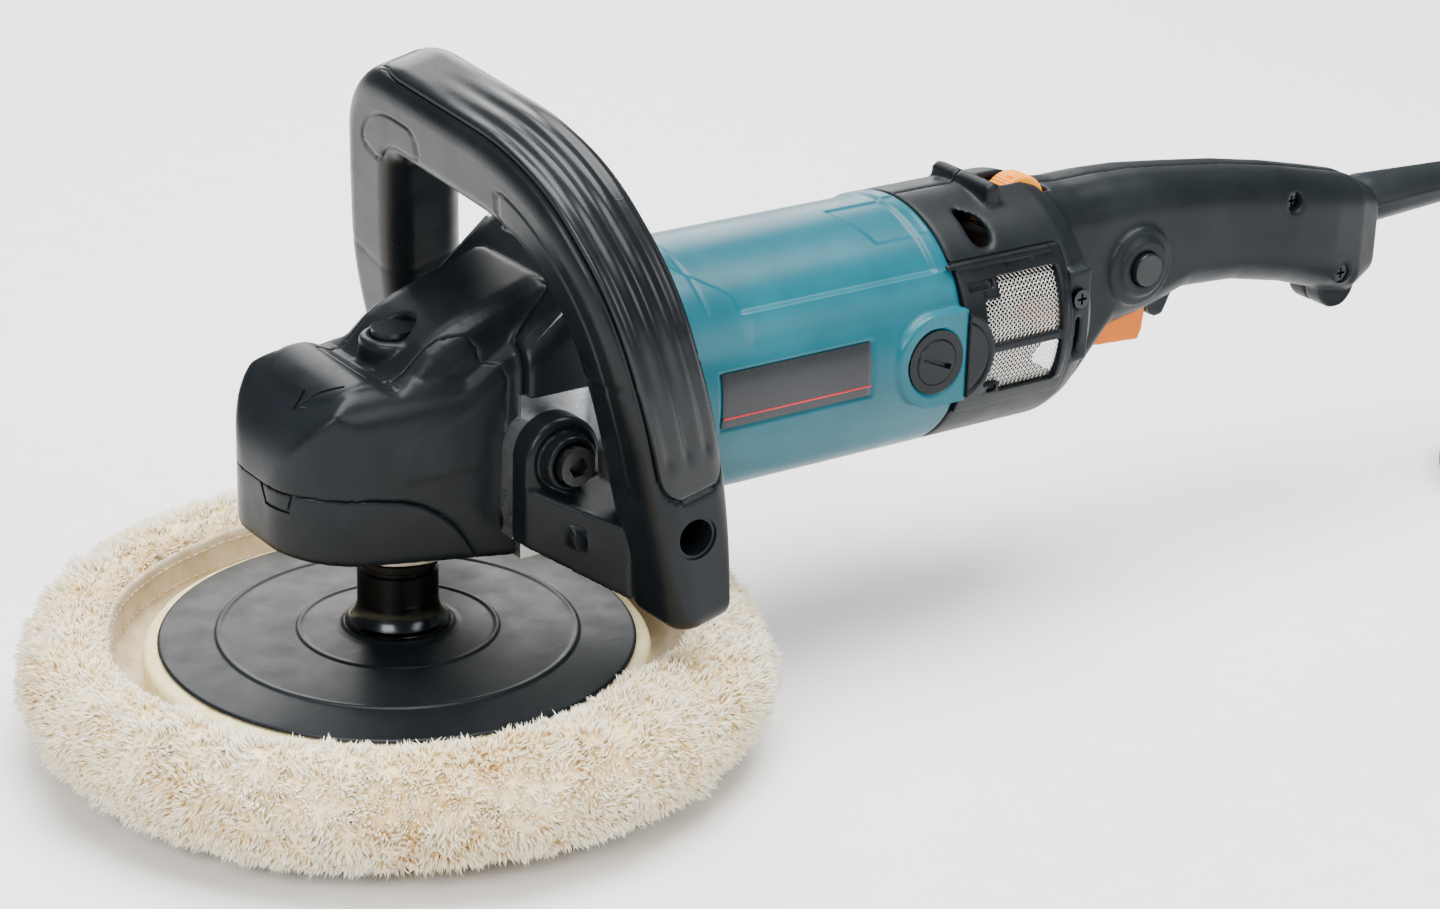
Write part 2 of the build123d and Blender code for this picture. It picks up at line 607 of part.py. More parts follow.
def make_rear_covers():
    """Left and right half of the handle shell, joined on the middle plane."""
    shell = rear_outside() - (barrel(SHELL_T) + handle_loft(SHELL_T))
    for frame_space in both_sides(ring_sector(MOTOR_R - SHELL_T - 3, MOTOR_R + 5, FILTER_BOX)):
        shell -= frame_space
    # dial slot, trigger mouth, cord guard mouth
    shell -= block(DIAL[0] - DIAL_R - 0.8, DIAL[0] + DIAL_R + 0.8, -8.6, 2.6, 120, 165)
    shell -= block(269, 309.6, -8.5, 8.5, 60, 100)
    shell -= cyl_x(GUARD_X0 + 3, 440, 9.7, z=CORD_EXIT[2])
    for pocket in both_sides(cyl_y(-60, -15, 4.2, x=212, z=142)):
        shell -= pocket
    for x, z in HANDLE_SCREWS:
        shell += cyl_y(-16, 16, 4.2, x=x, z=z)
        shell -= cyl_y(-30, -12, 3.6, x=x, z=z)
        shell -= cyl_y(-30, 8, 1.7, x=x, z=z)
    for hole in both_sides(side_screw_hole()):
        shell -= hole
    left = shell & block(150, 480, -70, 0, 40, 200)
    right = shell & block(150, 480, 0, 70, 40, 200)
    # boss and hole of the lock-on button
    x, z = LOCK_BUTTON
    boss = cyl_y(-21.3, -16, 14.5, x=x, z=z) + cyl_y(-23.2, -16, 10.6, x=x, z=z)
    left += boss - handle_loft(SHELL_T)
    left -= cyl_y(-30, -10, LOCK_BUTTON_R + 0.1, x=x, z=z)
    return largest(left), largest(right)


def pan_screw(length, head_r=3.4, shank_r=1.65):
    """Cross-head screw along -Z from its head, head top at z = 0."""
    screw = cyl_z(-2.2, 0, head_r) + cyl_z(-2.2 - length, -2.1, shank_r)
    screw -= block(-head_r * 0.6, head_r * 0.6, -0.45, 0.45, -1.2, 1)
    return screw - block(-0.45, 0.45, -head_r * 0.6, head_r * 0.6, -1.2, 1)


def make_cover_screws():
    """Two screws across the handle and one behind each filter."""
    screws = [Pos(x, -14.2, z) * Rot(90, 0, 0) * pan_screw(19.5) for x, z in HANDLE_SCREWS]
    x, z = SIDE_SCREW
    screws += both_sides(Pos(x, -44.6, z) * Rot(90, 0, 0) * pan_screw(9, shank_r=2.0))
    return screws


def make_trigger():
    x, z = TRIGGER_PIVOT
    points = [
        (285, 80.6), (306, 79.2), (307.6, 83), (308.4, 90.5), (308.4, 96), (283, 96), (270, 97),
        (262, 97), (258.5, 95), (258.5, 90.5), (262, 89), (270, 89), (280, 88),
    ]
    return side_prism(points, -7.8, 7.8) - cyl_y(-20, 20, PIN_R + FIT, x=x, z=z)


def make_trigger_pin():
    x, z = TRIGGER_PIVOT
    return cyl_y(-16.8, 16.8, PIN_R, x=x, z=z)


def make_switch_body():
    return block(271, 307, -11.5, 9.5, 103.5, 127)


def make_speed_controller():
    return block(222, 232, -24, 24, 120, 134) + block(205, 222, -20, 20, 124, 134)


def make_speed_dial():
    x, z = DIAL
    dial = cyl_y(-8, 2, DIAL_R, x=x, z=z)
    for k in range(24):
        turn = Pos(x, 0, z) * Rot(0, 15 * k, 0)
        dial -= turn * block(-0.5, 0.5, -9, 3, DIAL_R - 0.7, DIAL_R + 1)
    return dial - cyl_y(-20, 20, PIN_R + FIT, x=x, z=z)


def make_dial_axle():
    """Pin of the dial on its bracket, which stands on the speed controller."""
    x, z = DIAL
    return cyl_y(-12, 6, PIN_R, x=x, z=z) + block(232, x + 5, 2.6, 6, 130, z + 3)


def make_lock_button():
    x, z = LOCK_BUTTON
    return cyl_y(-25.2, -15.8, LOCK_BUTTON_R, x=x, z=z)


# --------------------------------------------------- spindle lock in the neck
def make_shaft_lock():
    """Push cap with a stem for its spring and an offset pin that enters the gear."""
    cap = cyl_z(LOCK_CAP_Z, LOCK_CAP_Z + 3.6, LOCK_CAP_R, x=LOCK_X)
    cap += cyl_z(LOCK_CAP_Z - 3, LOCK_CAP_Z, 2.6, x=LOCK_STEM_X)
    return cap + cyl_z(122.0, LOCK_CAP_Z + 0.5, LOCK_PIN_R, x=-LOCK_HOLE_R)


def make_shaft_lock_spring():
    wire = Helix(pitch=2.5, height=6.6, radius=3.4)
    start = Plane(origin=wire @ 0, z_dir=wire % 0)
    coil = sweep(start * Circle(0.35), path=wire, is_frenet=True)
    return Pos(LOCK_STEM_X, 0, LOCK_FLOOR + 0.4) * coil


# ------------------------------------------------------------ loop handle
def loop_plane():
    return Plane(
        origin=(LOOP_X, 0, LOOP_Z), x_dir=(0, 1, 0), z_dir=(math.cos(LEAN), 0, math.sin(LEAN))
    )


def loop_line(foot, outward=0.0):
    """Corner points of the loop in its own plane, from one foot to the other."""
    half = [(LOOP_Y, foot), (LOOP_Y, 52), (66, 82), (49, 105), (26, 118.5)]
    grown = [(y + outward * 0.6, v + outward * 0.7) for y, v in half]
    return grown + [(-y, v) for y, v in reversed(grown)]


def loop_bar(foot, inset):
    """The loop's bar from a foot height up, with its section set in or out."""
    path = loop_plane() * FilletPolyline(*loop_line(foot), radius=30)
    across = Plane(origin=path @ 0, x_dir=(math.cos(LEAN), 0, math.sin(LEAN)), z_dir=path % 0)
    section = RectangleRounded(LOOP_DEPTH - 2 * inset, LOOP_THICK - 2 * inset, LOOP_ROUND - inset)
    return sweep(across * section, path=path)


def accessory_hole():
    """Blind hole in the outside of the left leg, with a flat mouth."""
    hole = cyl_y(-100, -75, ACCESSORY_R, x=ACCESSORY_X, z=ACCESSORY_Z)
    return hole + cyl_y(-100, -87, ACCESSORY_R + 1.6, x=ACCESSORY_X, z=ACCESSORY_Z)


def grip_space():
    """Room for the soft grip in the outside of the loop, over its top and down the left leg."""
    ring = loop_bar(GRIP_FOOT, -1.0) - loop_bar(GRIP_FOOT, GRIP_T)
    ring -= block(-50, 150, GRIP_END_Y, 120, 0, 250)
    core = loop_plane() * make_face(Polyline(*loop_line(0, outward=6), close=True))
    return ring - extrude(core, amount=30, both=True)


def make_loop_handle():
    """The loop's arch and its two legs, which join at a step under the hands."""
    bar = loop_bar(-27, 0) - grip_space()
    # the feet are slimmer than the bar above them
    for foot in both_sides(block(66.5, 90, -100, -50, 40, 92)):
        bar -= foot
    for hole in both_sides(accessory_hole()):
        bar -= hole
    for arm in both_sides(arm_solid()):
        bar -= arm
    lower = loop_plane() * Pos(0, LOOP_SPLIT - 100, 0) * Box(300, 200, 90)
    left_leg = largest(bar & lower & block(0, 120, -120, 0, 0, 200))
    return largest(bar - lower), both_sides(left_leg)


def make_handle_grip():
    return largest(grip_space() & loop_bar(GRIP_FOOT, 0))


def arm_solid():
    """Arm from the left leg's foot in to the ear plate on the gear housing."""
    arm = cyl_y(-46, -EAR_FACE, 13.5, x=EAR_X, z=EAR_Z) + block(20, 47, -46, -EAR_FACE, 76, EAR_Z)
    arm += cyl_y(-52, -46, 9.0, x=EAR_X, z=EAR_Z)
    inner = Plane(origin=(33.5, -45.9, 86), x_dir=(1, 0, 0), z_dir=(0, -1, 0)) * Rectangle(27, 20)
    outer = Plane(origin=(54, -70, 74), x_dir=(1, 0, 0), z_dir=(0, -1, 0)) * Rectangle(22, 24)
    arm += loft([inner, outer], ruled=True)
    arm -= cyl_y(-53, -36, 4.2, x=EAR_X, z=EAR_Z)
    return arm - cyl_y(-53, -48, 6.8, x=EAR_X, z=EAR_Z)


def make_handle_bolts():
    bolt = cyl_y(-55, -48, 6.2, x=EAR_X, z=EAR_Z) + cyl_y(-48, -22, 3.9, x=EAR_X, z=EAR_Z)
    face = Plane(origin=(EAR_X, -56, EAR_Z), x_dir=(1, 0, 0), z_dir=(0, 1, 0))
    return both_sides(bolt - extrude(face * RegularPolygon(3.4, 6), amount=5))


# --------------------------------------------------------- pad and wool pad
def make_pad_hub():
    """Threaded sleeve that screws onto the spindle, with a flange on the pad."""
    points = [
        (SPINDLE_R, PAD_TOP), (17.3, PAD_TOP), (17.3, 39.6), (14.2, 42.5), (HUB_R, 45), (HUB_R, 58),
        (HUB_R - 0.6, 58.4), (HUB_R - 0.6, 59.2), (HUB_R, 59.6), (HUB_R, HUB_TOP),
        (SPINDLE_R, HUB_TOP),
    ]
    return turned_z(points)


def make_backing_pad():
    """Rubber disc with two raised circles and a raised middle."""
    points = [
        (0, RING_TOP), (PAD_R - 2, RING_TOP), (PAD_R, RING_TOP + 0.6), (PAD_R - 0.8, 33.6),
        (58.5, 35.0), (58.1, 35.4), (57.2, 35.2), (32.5, 36.0), (32.1, 36.4), (31.4, 36.2),
        (20, 37.2), (17.5, PAD_TOP), (0, PAD_TOP),
    ]
    return turned_z(points)


def make_hook_ring():
    return cyl_z(RING_BOTTOM, RING_TOP, RING_R) - cyl_z(0, 60, 12)


def make_bonnet_lining():
    """Leather dish that grips the ring's underside and rises as a skirt."""
    skin = LINING_R + LINING_T
    points = [
        (12, LINING_BOTTOM), (LINING_R - 5, LINING_BOTTOM), (skin, 22), (skin, LINING_TOP),
        (LINING_R, LINING_TOP), (LINING_R, 23), (LINING_R - 6, RING_BOTTOM), (12, RING_BOTTOM),
    ]
    return turned_z(points)


def make_wool_fleece():
    """Fleece round and under the lining, flat at the bottom and soft at the rim."""
    skin = LINING_R + LINING_T
    points = [
        (0, 0), (WOOL_R - 43, 0), (WOOL_R - 25, 2.2), (WOOL_R - 12, 7), (WOOL_R - 3.5, 14),
        (WOOL_R, 22), (WOOL_R - 2, 30), (WOOL_R - 8, 36.5), (WOOL_R - 16, WOOL_TOP),
        (WOOL_R - 22, WOOL_TOP), (skin, WOOL_TOP - 2.5), (skin, 22),
        (LINING_R - 5, LINING_BOTTOM), (0, LINING_BOTTOM),
    ]
    return turned_z(points)


# ----------------------------------------------------------- cord and plug
def cord_radii(points):
    """The largest arc that each corner's runs allow."""
    radii = []
    for before, corner, after in zip(points, points[1:], points[2:]):
        a = Vector(*corner) - Vector(*before)
        b = Vector(*after) - Vector(*corner)
        half_turn = math.radians(a.get_angle(b)) / 2
        radii.append(0.45 * min(a.length, b.length) / math.tan(half_turn))
    return radii


def make_cord():
    radii = cord_radii(CORD_POINTS)
    path = FilletPolyline(*CORD_POINTS, radius=radii)
    start = Plane(origin=path @ 0, z_dir=path % 0)
    tube = sweep(start * Circle(CORD_D / 2), path=path)
    print("cord arc radii", [round(r, 1) for r in radii])
    print("cord length", round(path.length, 1), "volume ratio",
          round(tube.volume / (path.length * math.pi * CORD_D ** 2 / 4), 4))
    return tube


def make_cord_coil():
    outer = COIL_R + CORD_D
    inner = COIL_R - CORD_D
    height = COIL_LAYERS * CORD_D
    x, y = COIL_AT
    return cyl_z(0, height, outer, x=x, y=y) - cyl_z(-1, height + 1, inner, x=x, y=y)


def make_cord_guard():
    """Tapered strain relief, held by its flange inside the handle."""
    x1 = CORD_EXIT[0]
    points = [
        (GUARD_X0, 0), (GUARD_X0, 11.2), (GUARD_X0 + 3, 11.2), (GUARD_X0 + 3, 9.7), (426, 9.7),
        (x1, 7.0), (x1, 0),
    ]
    return turned_x(points, z=CORD_EXIT[2])


def make_cord_clamp():
    return block(388, 396, -12, 12, 96, 105)


def make_plug():
    """Two-pin plug that lies flat, its relief towards the coil."""
    body = block(PLUG_X - 36, PLUG_X - 6, PLUG_Y - 13, PLUG_Y + 13, 0, 17)
    x0 = PLUG_X - 6
    x1 = PLUG_X + 9
    relief = Pos(0, PLUG_Y, 0) * turned_x([(x0, 0), (x0, 6.0), (x1, 4.8), (x1, 0)], z=6.4)
    pin = cyl_x(PLUG_X - 54, PLUG_X - 36, PIN_R, y=PLUG_Y, z=8.5)
    return [body + relief] + [Pos(0, side * 9.5, 0) * pin for side in (-1, 1)]


# --------------------------------------------------------------- all nodes
def make_bearings():
    return {
        "lower_spindle_bearing": Pos(0, 0, 79.5) * bearing(7.5 + FIT, 17.5, 11),
        "front_shaft_bearing": Pos(29.2, 0, LAY_Z) * Rot(0, 90, 0) * bearing(5.0, 11.0, 8.2),
        "rear_shaft_bearing": Pos(MOTOR_X0, 0, LAY_Z) * Rot(0, 90, 0) * bearing(4.0, 8.0, 4.0),
        "front_motor_bearing": Pos(63, 0, MOTOR_Z) * Rot(0, 90, 0) * bearing(4.0, 11.0, 7.5),
        "rear_motor_bearing": Pos(195, 0, MOTOR_Z) * Rot(0, 90, 0) * bearing(4.0, 11.0, 7.0),
    }


def make_retainer():
    """Plate under the spindle bearing, with a bright ring round the spindle."""
    plate = cyl_z(66.5, 70, 21.3) + cyl_z(70, 79.5, 20)
    plate -= cyl_z(60, 80, 8.2)
    plate -= cyl_z(62, 68.5, 15)
    return plate


def make_case_screws():
    screw = Rot(0, -90, 0) * pan_screw(30, head_r=4.0, shank_r=2.1)
    return [Pos(51.6, y, z) * screw for y, z in screw_places()]


def main():
    os.makedirs("parts", exist_ok=True)
    nose, skirt, neck, collar = make_head_covers()
    left, right = make_rear_covers()
    arch, legs = make_loop_handle()
    nodes = {
        "gear_housing": make_gear_housing(),
        "nose_cover": nose,
        "lower_skirt": skirt,
        "neck_cover": neck,
        "collar_cover": collar,
        "bearing_retainer": make_retainer(),
        "gear_case_screws": make_case_screws(),
        "gear_plate": make_gear_plate(),
        "motor_housing": make_motor_housing(),
        "side_plates": both_sides(side_plate()),
        "field_core": make_field_core(),
        "field_coils": make_field_coils(),
        "brush_holders": both_sides(make_brush_holder()),
        "carbon_brushes": both_sides(make_carbon_brush()),
        "brush_springs": both_sides(make_brush_spring()),
        "brush_caps": both_sides(make_brush_cap()),
        "rear_cover_left": left,
        "rear_cover_right": right,
        "filter_frames": both_sides(make_filter_frame()),
        "filter_screens": both_sides(make_filter_screen()),
        "filter_clips": both_sides(make_filter_clip()),
        "cover_screws": make_cover_screws(),
        "speed_controller": make_speed_controller(),
        "dial_axle": make_dial_axle(),
        "speed_dial": make_speed_dial(),
        "switch_body": make_switch_body(),
        "trigger": make_trigger(),
        "trigger_pin": make_trigger_pin(),
        "lock_button": make_lock_button(),
        "cord_guard": make_cord_guard(),
        "cord_clamp": make_cord_clamp(),
        "cord": make_cord(),
        "cord_coil": make_cord_coil(),
        "plug": make_plug(),
        "loop_handle": arch,
        "loop_legs": legs,
        "handle_grip": make_handle_grip(),
        "handle_arms": both_sides(arm_solid()),
        "handle_bolts": make_handle_bolts(),
        "spindle": make_spindle(),
        "bevel_gear": make_bevel_gear(),
        "pad_hub": make_pad_hub(),
        "backing_pad": make_backing_pad(),
        "hook_ring": make_hook_ring(),
        "bonnet_lining": make_bonnet_lining(),
        "wool_fleece": make_wool_fleece(),
        "intermediate_shaft": make_intermediate_shaft(),
        "bevel_pinion": make_bevel_pinion(),
        "helical_gear": make_helical_gear(),
        "armature_shaft": make_armature_shaft(),
        "armature_core": make_armature_core(),
        "commutator": make_commutator(),
        "cooling_fan": make_cooling_fan(),
        "shaft_lock_button": make_shaft_lock(),
        "shaft_lock_spring": make_shaft_lock_spring(),
    }
    nodes.update(make_bearings())
    for name, solids in nodes.items():
        write(name, solids)


main()
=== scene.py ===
import bpy
import bmesh
import math
import numpy as np
from mathutils import Matrix, Vector, noise


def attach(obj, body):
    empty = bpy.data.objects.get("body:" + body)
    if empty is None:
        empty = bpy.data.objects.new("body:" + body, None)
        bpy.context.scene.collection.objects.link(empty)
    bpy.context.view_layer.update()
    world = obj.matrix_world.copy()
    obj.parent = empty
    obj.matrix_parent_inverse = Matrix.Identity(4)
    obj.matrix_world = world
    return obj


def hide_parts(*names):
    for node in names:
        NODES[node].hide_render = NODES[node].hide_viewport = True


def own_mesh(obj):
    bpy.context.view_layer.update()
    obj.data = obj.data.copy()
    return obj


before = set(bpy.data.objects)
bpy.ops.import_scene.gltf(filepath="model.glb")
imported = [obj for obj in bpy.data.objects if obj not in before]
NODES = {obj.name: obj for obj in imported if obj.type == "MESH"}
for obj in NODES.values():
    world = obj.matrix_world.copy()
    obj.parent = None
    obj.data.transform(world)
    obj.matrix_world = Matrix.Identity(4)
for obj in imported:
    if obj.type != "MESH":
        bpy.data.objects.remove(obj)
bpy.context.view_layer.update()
MM = 0.001


# ------------------------------------------------------------------ mesh tools
def link(name, mesh):
    piece = bpy.data.objects.new(name, mesh)
    bpy.context.scene.collection.objects.link(piece)
    return piece


def from_mm(name, points, faces):
    """A mesh object from points in millimetres."""
    mesh = bpy.data.meshes.new(name)
    mesh.from_pydata([tuple(float(c) * MM for c in p) for p in points], [], faces)
    mesh.validate()
    return outward(link(name, mesh))


def outward(piece):
    bm = bmesh.new()
    bm.from_mesh(piece.data)
    bmesh.ops.recalc_face_normals(bm, faces=bm.faces)
    bm.to_mesh(piece.data)
    bm.free()
    return piece


def prism(axis, outline, low, high):
    """Closed prism: an outline in the two other axes, between low and high along axis (mm)."""
    place = {"X": lambda a, b, c: (c, a, b), "Y": lambda a, b, c: (a, c, b), "Z": lambda a, b, c: (a, b, c)}
    n = len(outline)
    points = [place[axis](a, b, low) for a, b in outline] + [place[axis](a, b, high) for a, b in outline]
    faces = [tuple(range(n)), tuple(range(n, 2 * n))]
    faces += [(i, (i + 1) % n, n + (i + 1) % n, n + i) for i in range(n)]
    return from_mm("cut", points, faces)


def rod(axis, centre, radius, low, high, sides=64):
    """Round bar along an axis; centre in the two other axes."""
    outline = [
        (centre[0] + radius * math.cos(2 * math.pi * k / sides),
         centre[1] + radius * math.sin(2 * math.pi * k / sides))
        for k in range(sides)
    ]
    return prism(axis, outline, low, high)


def box_mm(x0, x1, y0, y1, z0, z1):
    return prism("Z", [(x0, y0), (x1, y0), (x1, y1), (x0, y1)], z0, z1)


def round_rect(width, height, radius, middle=(0, 0), steps=10):
    """Outline of a rectangle with round corners."""
    points = []
    for turn, sx, sy in ((0, 1, 1), (90, -1, 1), (180, -1, -1), (270, 1, -1)):
        for k in range(steps + 1):
            angle = math.radians(turn + 90 * k / steps)
            points.append((
                middle[0] + sx * (width / 2 - radius) + radius * math.cos(angle),
                middle[1] + sy * (height / 2 - radius) + radius * math.sin(angle),
            ))
    return points


def baked(piece):
    """Applies every modifier."""
    depsgraph = bpy.context.evaluated_depsgraph_get()
    mesh = bpy.data.meshes.new_from_object(piece.evaluated_get(depsgraph))
    piece.modifiers.clear()
    old = piece.data
    piece.data = mesh
    if not old.users:
        bpy.data.meshes.remove(old)
    return piece


def drop(piece):
    mesh = piece.data
    bpy.data.objects.remove(piece)
    if not mesh.users:
        bpy.data.meshes.remove(mesh)


def boolean(piece, tool, operation, keep_tool=False):
    cut = piece.modifiers.new("cut", "BOOLEAN")
    cut.operation = operation
    cut.object = tool
    cut.solver = "MANIFOLD"
    baked(piece)
    if not keep_tool:
        drop(tool)
    return piece


def joined(pieces):
    """Puts several pieces into the first one."""
    bm = bmesh.new()
    for piece in pieces:
        bm.from_mesh(piece.data)
    bm.to_mesh(pieces[0].data)
    bm.free()
    for piece in pieces[1:]:
        drop(piece)
    return pieces[0]


def remeshed(piece, voxel, rounds, factor=0.5):
    """Merges what overlaps, on a voxel grid, and rounds the edges."""
    remesh = piece.modifiers.new("remesh", "REMESH")
    remesh.mode = "VOXEL"
    remesh.voxel_size = voxel * MM
    if rounds:
        smooth = piece.modifiers.new("smooth", "SMOOTH")
        smooth.iterations = rounds
        smooth.factor = factor
    return baked(piece)


def copy_of(*nodes):
    """A copy of CAD nodes to work on."""
    piece = joined([link(n + "_work", NODES[n].data.copy()) for n in nodes])
    bm = bmesh.new()
    bm.from_mesh(piece.data)
    bmesh.ops.remove_doubles(bm, verts=bm.verts, dist=2e-6)
    bm.to_mesh(piece.data)
    bm.free()
    return piece


def copied(piece):
    return link(piece.name, piece.data.copy())


def shade_smooth(piece, angle=None):
    piece.data.shade_smooth()
    if angle:
        piece.data.set_sharp_from_angle(angle=math.radians(angle))
    return piece


def dress(piece, name, material, body, slot, *replaced, angle=None):
    """Names a finished piece and gives it its material and body. The slot argument is not used."""
    piece.name = name
    piece.data.name = name
    piece.data.materials.clear()
    piece.data.materials.append(material)
    shade_smooth(piece, angle)
    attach(piece, body)
    if replaced:
        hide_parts(*replaced)
    return piece


def grid(name, rows, close_across=True, close_along=False):
    """Quads over rows of points (mm); ends are capped when the rows are rings."""
    count, across = rows.shape[:2]
    points = rows.reshape(-1, 3)
    faces = []
    for i in range(count if close_along else count - 1):
        for j in range(across if close_across else across - 1):
            a = i * across + j
            b = i * across + (j + 1) % across
            c = ((i + 1) % count) * across + (j + 1) % across
            d = ((i + 1) % count) * across + j
            faces.append((a, b, c, d))
    if close_across and not close_along:
        faces.append(tuple(range(across)))
        faces.append(tuple((count - 1) * across + j for j in range(across)))
    return from_mm(name, points, faces)


def lathe(name, outline, sides=256, closed=True):
    """Turned about Z from (radius, z) points in millimetres; a point on the axis closes it."""
    angles = np.linspace(0, 2 * math.pi, sides, endpoint=False)
    profile = np.array(outline, float)
    rows = np.stack([
        np.outer(np.cos(angles), profile[:, 0]),
        np.outer(np.sin(angles), profile[:, 0]),
        np.repeat(profile[None, :, 1], sides, axis=0),
    ], axis=2)
    piece = grid(name, rows, close_across=closed, close_along=True)
    bm = bmesh.new()
    bm.from_mesh(piece.data)
    bmesh.ops.remove_doubles(bm, verts=bm.verts, dist=1e-6)
    bm.to_mesh(piece.data)
    bm.free()
    return outward(piece)


def smoothstep(low, high, value):
    t = np.clip((value - low) / (high - low), 0, 1)
    return t * t * (3 - 2 * t)


# ------------------------------------------------------------------- materials
def new_material(name):
    material = bpy.data.materials.new(name)
    material.use_nodes = True
    return material, material.node_tree, material.node_tree.nodes["Principled BSDF"]


def add(tree, kind, **inputs):
    node = tree.nodes.new(kind)
    for key, value in inputs.items():
        node.inputs[key.replace("_", " ")].default_value = value
    return node


def noise_node(tree, scale, detail=4.0, rough=0.55, distortion=0.0):
    node = add(tree, "ShaderNodeTexNoise", Scale=scale, Detail=detail, Roughness=rough)
    node.inputs["Distortion"].default_value = distortion
    coords = tree.nodes.get("coords") or tree.nodes.new("ShaderNodeTexCoord")
    coords.name = "coords"
    tree.links.new(coords.outputs["Object"], node.inputs["Vector"])
    return node


def ramp(tree, source, stops):
    node = tree.nodes.new("ShaderNodeValToRGB")
    while len(node.color_ramp.elements) < len(stops):
        node.color_ramp.elements.new(0.5)
    for element, (position, color) in zip(node.color_ramp.elements, stops):
        element.position = position
        element.color = color if len(color) == 4 else (*color, 1)
    tree.links.new(source, node.inputs["Fac"])
    return node.outputs["Color"]


def grey(value):
    return (value, value, value)


def bump(tree, shader, height, strength, distance, under=None):
    node = add(tree, "ShaderNodeBump", Strength=strength, Distance=distance)
    tree.links.new(height, node.inputs["Height"])
    if under:
        tree.links.new(under, node.inputs["Normal"])
    tree.links.new(node.outputs["Normal"], shader.inputs["Normal"])
    return node.outputs["Normal"]


def moulded(name, color, rough, grain=1500.0, grain_depth=0.00003, spread=0.08, coat=0.0, wear=0.25,
            ior=1.26):
    """Moulded plastic or rubber: fine grain, patchy gloss, hairline scratches."""
    material, tree, shader = new_material(name)
    patches = noise_node(tree, 28.0, 5.0)
    dark = [c * 0.82 for c in color]
    light = [min(1.0, c * 1.22 + 0.004) for c in color]
    tree.links.new(ramp(tree, patches.outputs["Fac"], [(0.3, dark), (0.7, light)]), shader.inputs["Base Color"])
    gloss = noise_node(tree, 90.0, 6.0, 0.65)
    tree.links.new(
        ramp(tree, gloss.outputs["Fac"], [(0.3, grey(rough - spread)), (0.72, grey(rough + spread))]),
        shader.inputs["Roughness"],
    )
    fine = noise_node(tree, grain, 3.0, 0.6)
    first = bump(tree, shader, fine.outputs["Fac"], 0.6, grain_depth)
    scratch = noise_node(tree, 260.0, 2.0, 0.5, 0.4)
    stretch = add(tree, "ShaderNodeMapping", Scale=(0.06, 1.0, 1.6), Rotation=(0.3, 0.5, 0.7))
    tree.links.new(tree.nodes["coords"].outputs["Object"], stretch.inputs["Vector"])
    tree.links.new(stretch.outputs["Vector"], scratch.inputs["Vector"])
    lines = ramp(tree, scratch.outputs["Fac"], [(0.66, grey(0)), (0.72, grey(1))])
    bump(tree, shader, lines, wear, 0.00005, first)
    shader.inputs["IOR"].default_value = ior
    shader.inputs["Coat Weight"].default_value = coat
    shader.inputs["Coat Roughness"].default_value = 0.25
    return material


def metal(name, color, rough, brushed=(1.0, 1.0, 1.0), depth=0.00002, scale=600.0):
    """Bare metal with fine turning or casting marks and stains."""
    material, tree, shader = new_material(name)
    shader.inputs["Metallic"].default_value = 1.0
    stain = noise_node(tree, 45.0, 5.0)
    tree.links.new(
        ramp(tree, stain.outputs["Fac"], [(0.3, [c * 0.8 for c in color]), (0.7, color)]),
        shader.inputs["Base Color"],
    )
    marks = noise_node(tree, scale, 4.0)
    stretch = add(tree, "ShaderNodeMapping", Scale=brushed)
    tree.links.new(tree.nodes["coords"].outputs["Object"], stretch.inputs["Vector"])
    tree.links.new(stretch.outputs["Vector"], marks.inputs["Vector"])
    tree.links.new(
        ramp(tree, marks.outputs["Fac"], [(0.25, grey(rough * 0.7)), (0.75, grey(rough * 1.3))]),
        shader.inputs["Roughness"],
    )
    bump(tree, shader, marks.outputs["Fac"], 0.5, depth)
    return material


def wool_material():
    """Cream fleece, pale at the ends of the locks, soft sheen; tan where the value is low, which is painted shade in
    the hollows and down at the roots.
    """
    material, tree, shader = new_material("fleece")
    shade = tree.nodes.new("ShaderNodeAttribute")
    shade.attribute_name = "tip"
    patches = noise_node(tree, 38.0, 5.0, 0.6)
    mixed = add(tree, "ShaderNodeMath")
    mixed.operation = "MULTIPLY_ADD"
    tree.links.new(patches.outputs["Fac"], mixed.inputs[0])
    mixed.inputs[1].default_value = 0.5
    tree.links.new(shade.outputs["Fac"], mixed.inputs[2])
    # low values are painted shade (tan in the hollows and at the roots), high values the cream of the outer pile
    stops = [
        (0.30, (0.62, 0.36, 0.11)), (0.46, (0.90, 0.70, 0.38)), (0.66, (0.98, 0.87, 0.63)),
        (1.0, (1.0, 0.95, 0.80)),
    ]
    tree.links.new(ramp(tree, mixed.outputs["Value"], stops), shader.inputs["Base Color"])
    fibre = noise_node(tree, 1400.0, 3.0, 0.6)
    bump(tree, shader, fibre.outputs["Fac"], 0.5, 0.0002)
    shader.inputs["Roughness"].default_value = 0.95
    shader.inputs["Specular IOR Level"].default_value = 0.15
    shader.inputs["Sheen Weight"].default_value = 0.15
    shader.inputs["Sheen Roughness"].default_value = 0.5
    return material


def soft_material(name, low, high, scale, depth, rough=0.9, sheen=0.2):
    """Suede, foam and the like: mottled, with a nap."""
    material, tree, shader = new_material(name)
    patches = noise_node(tree, scale * 0.12, 5.0, 0.6)
    tree.links.new(ramp(tree, patches.outputs["Fac"], [(0.3, low), (0.7, high)]), shader.inputs["Base Color"])
    nap = noise_node(tree, scale, 5.0, 0.7)
    bump(tree, shader, nap.outputs["Fac"], 0.7, depth)
    shader.inputs["Roughness"].default_value = rough
    shader.inputs["Sheen Weight"].default_value = sheen
    shader.inputs["Specular IOR Level"].default_value = 0.25
    return material


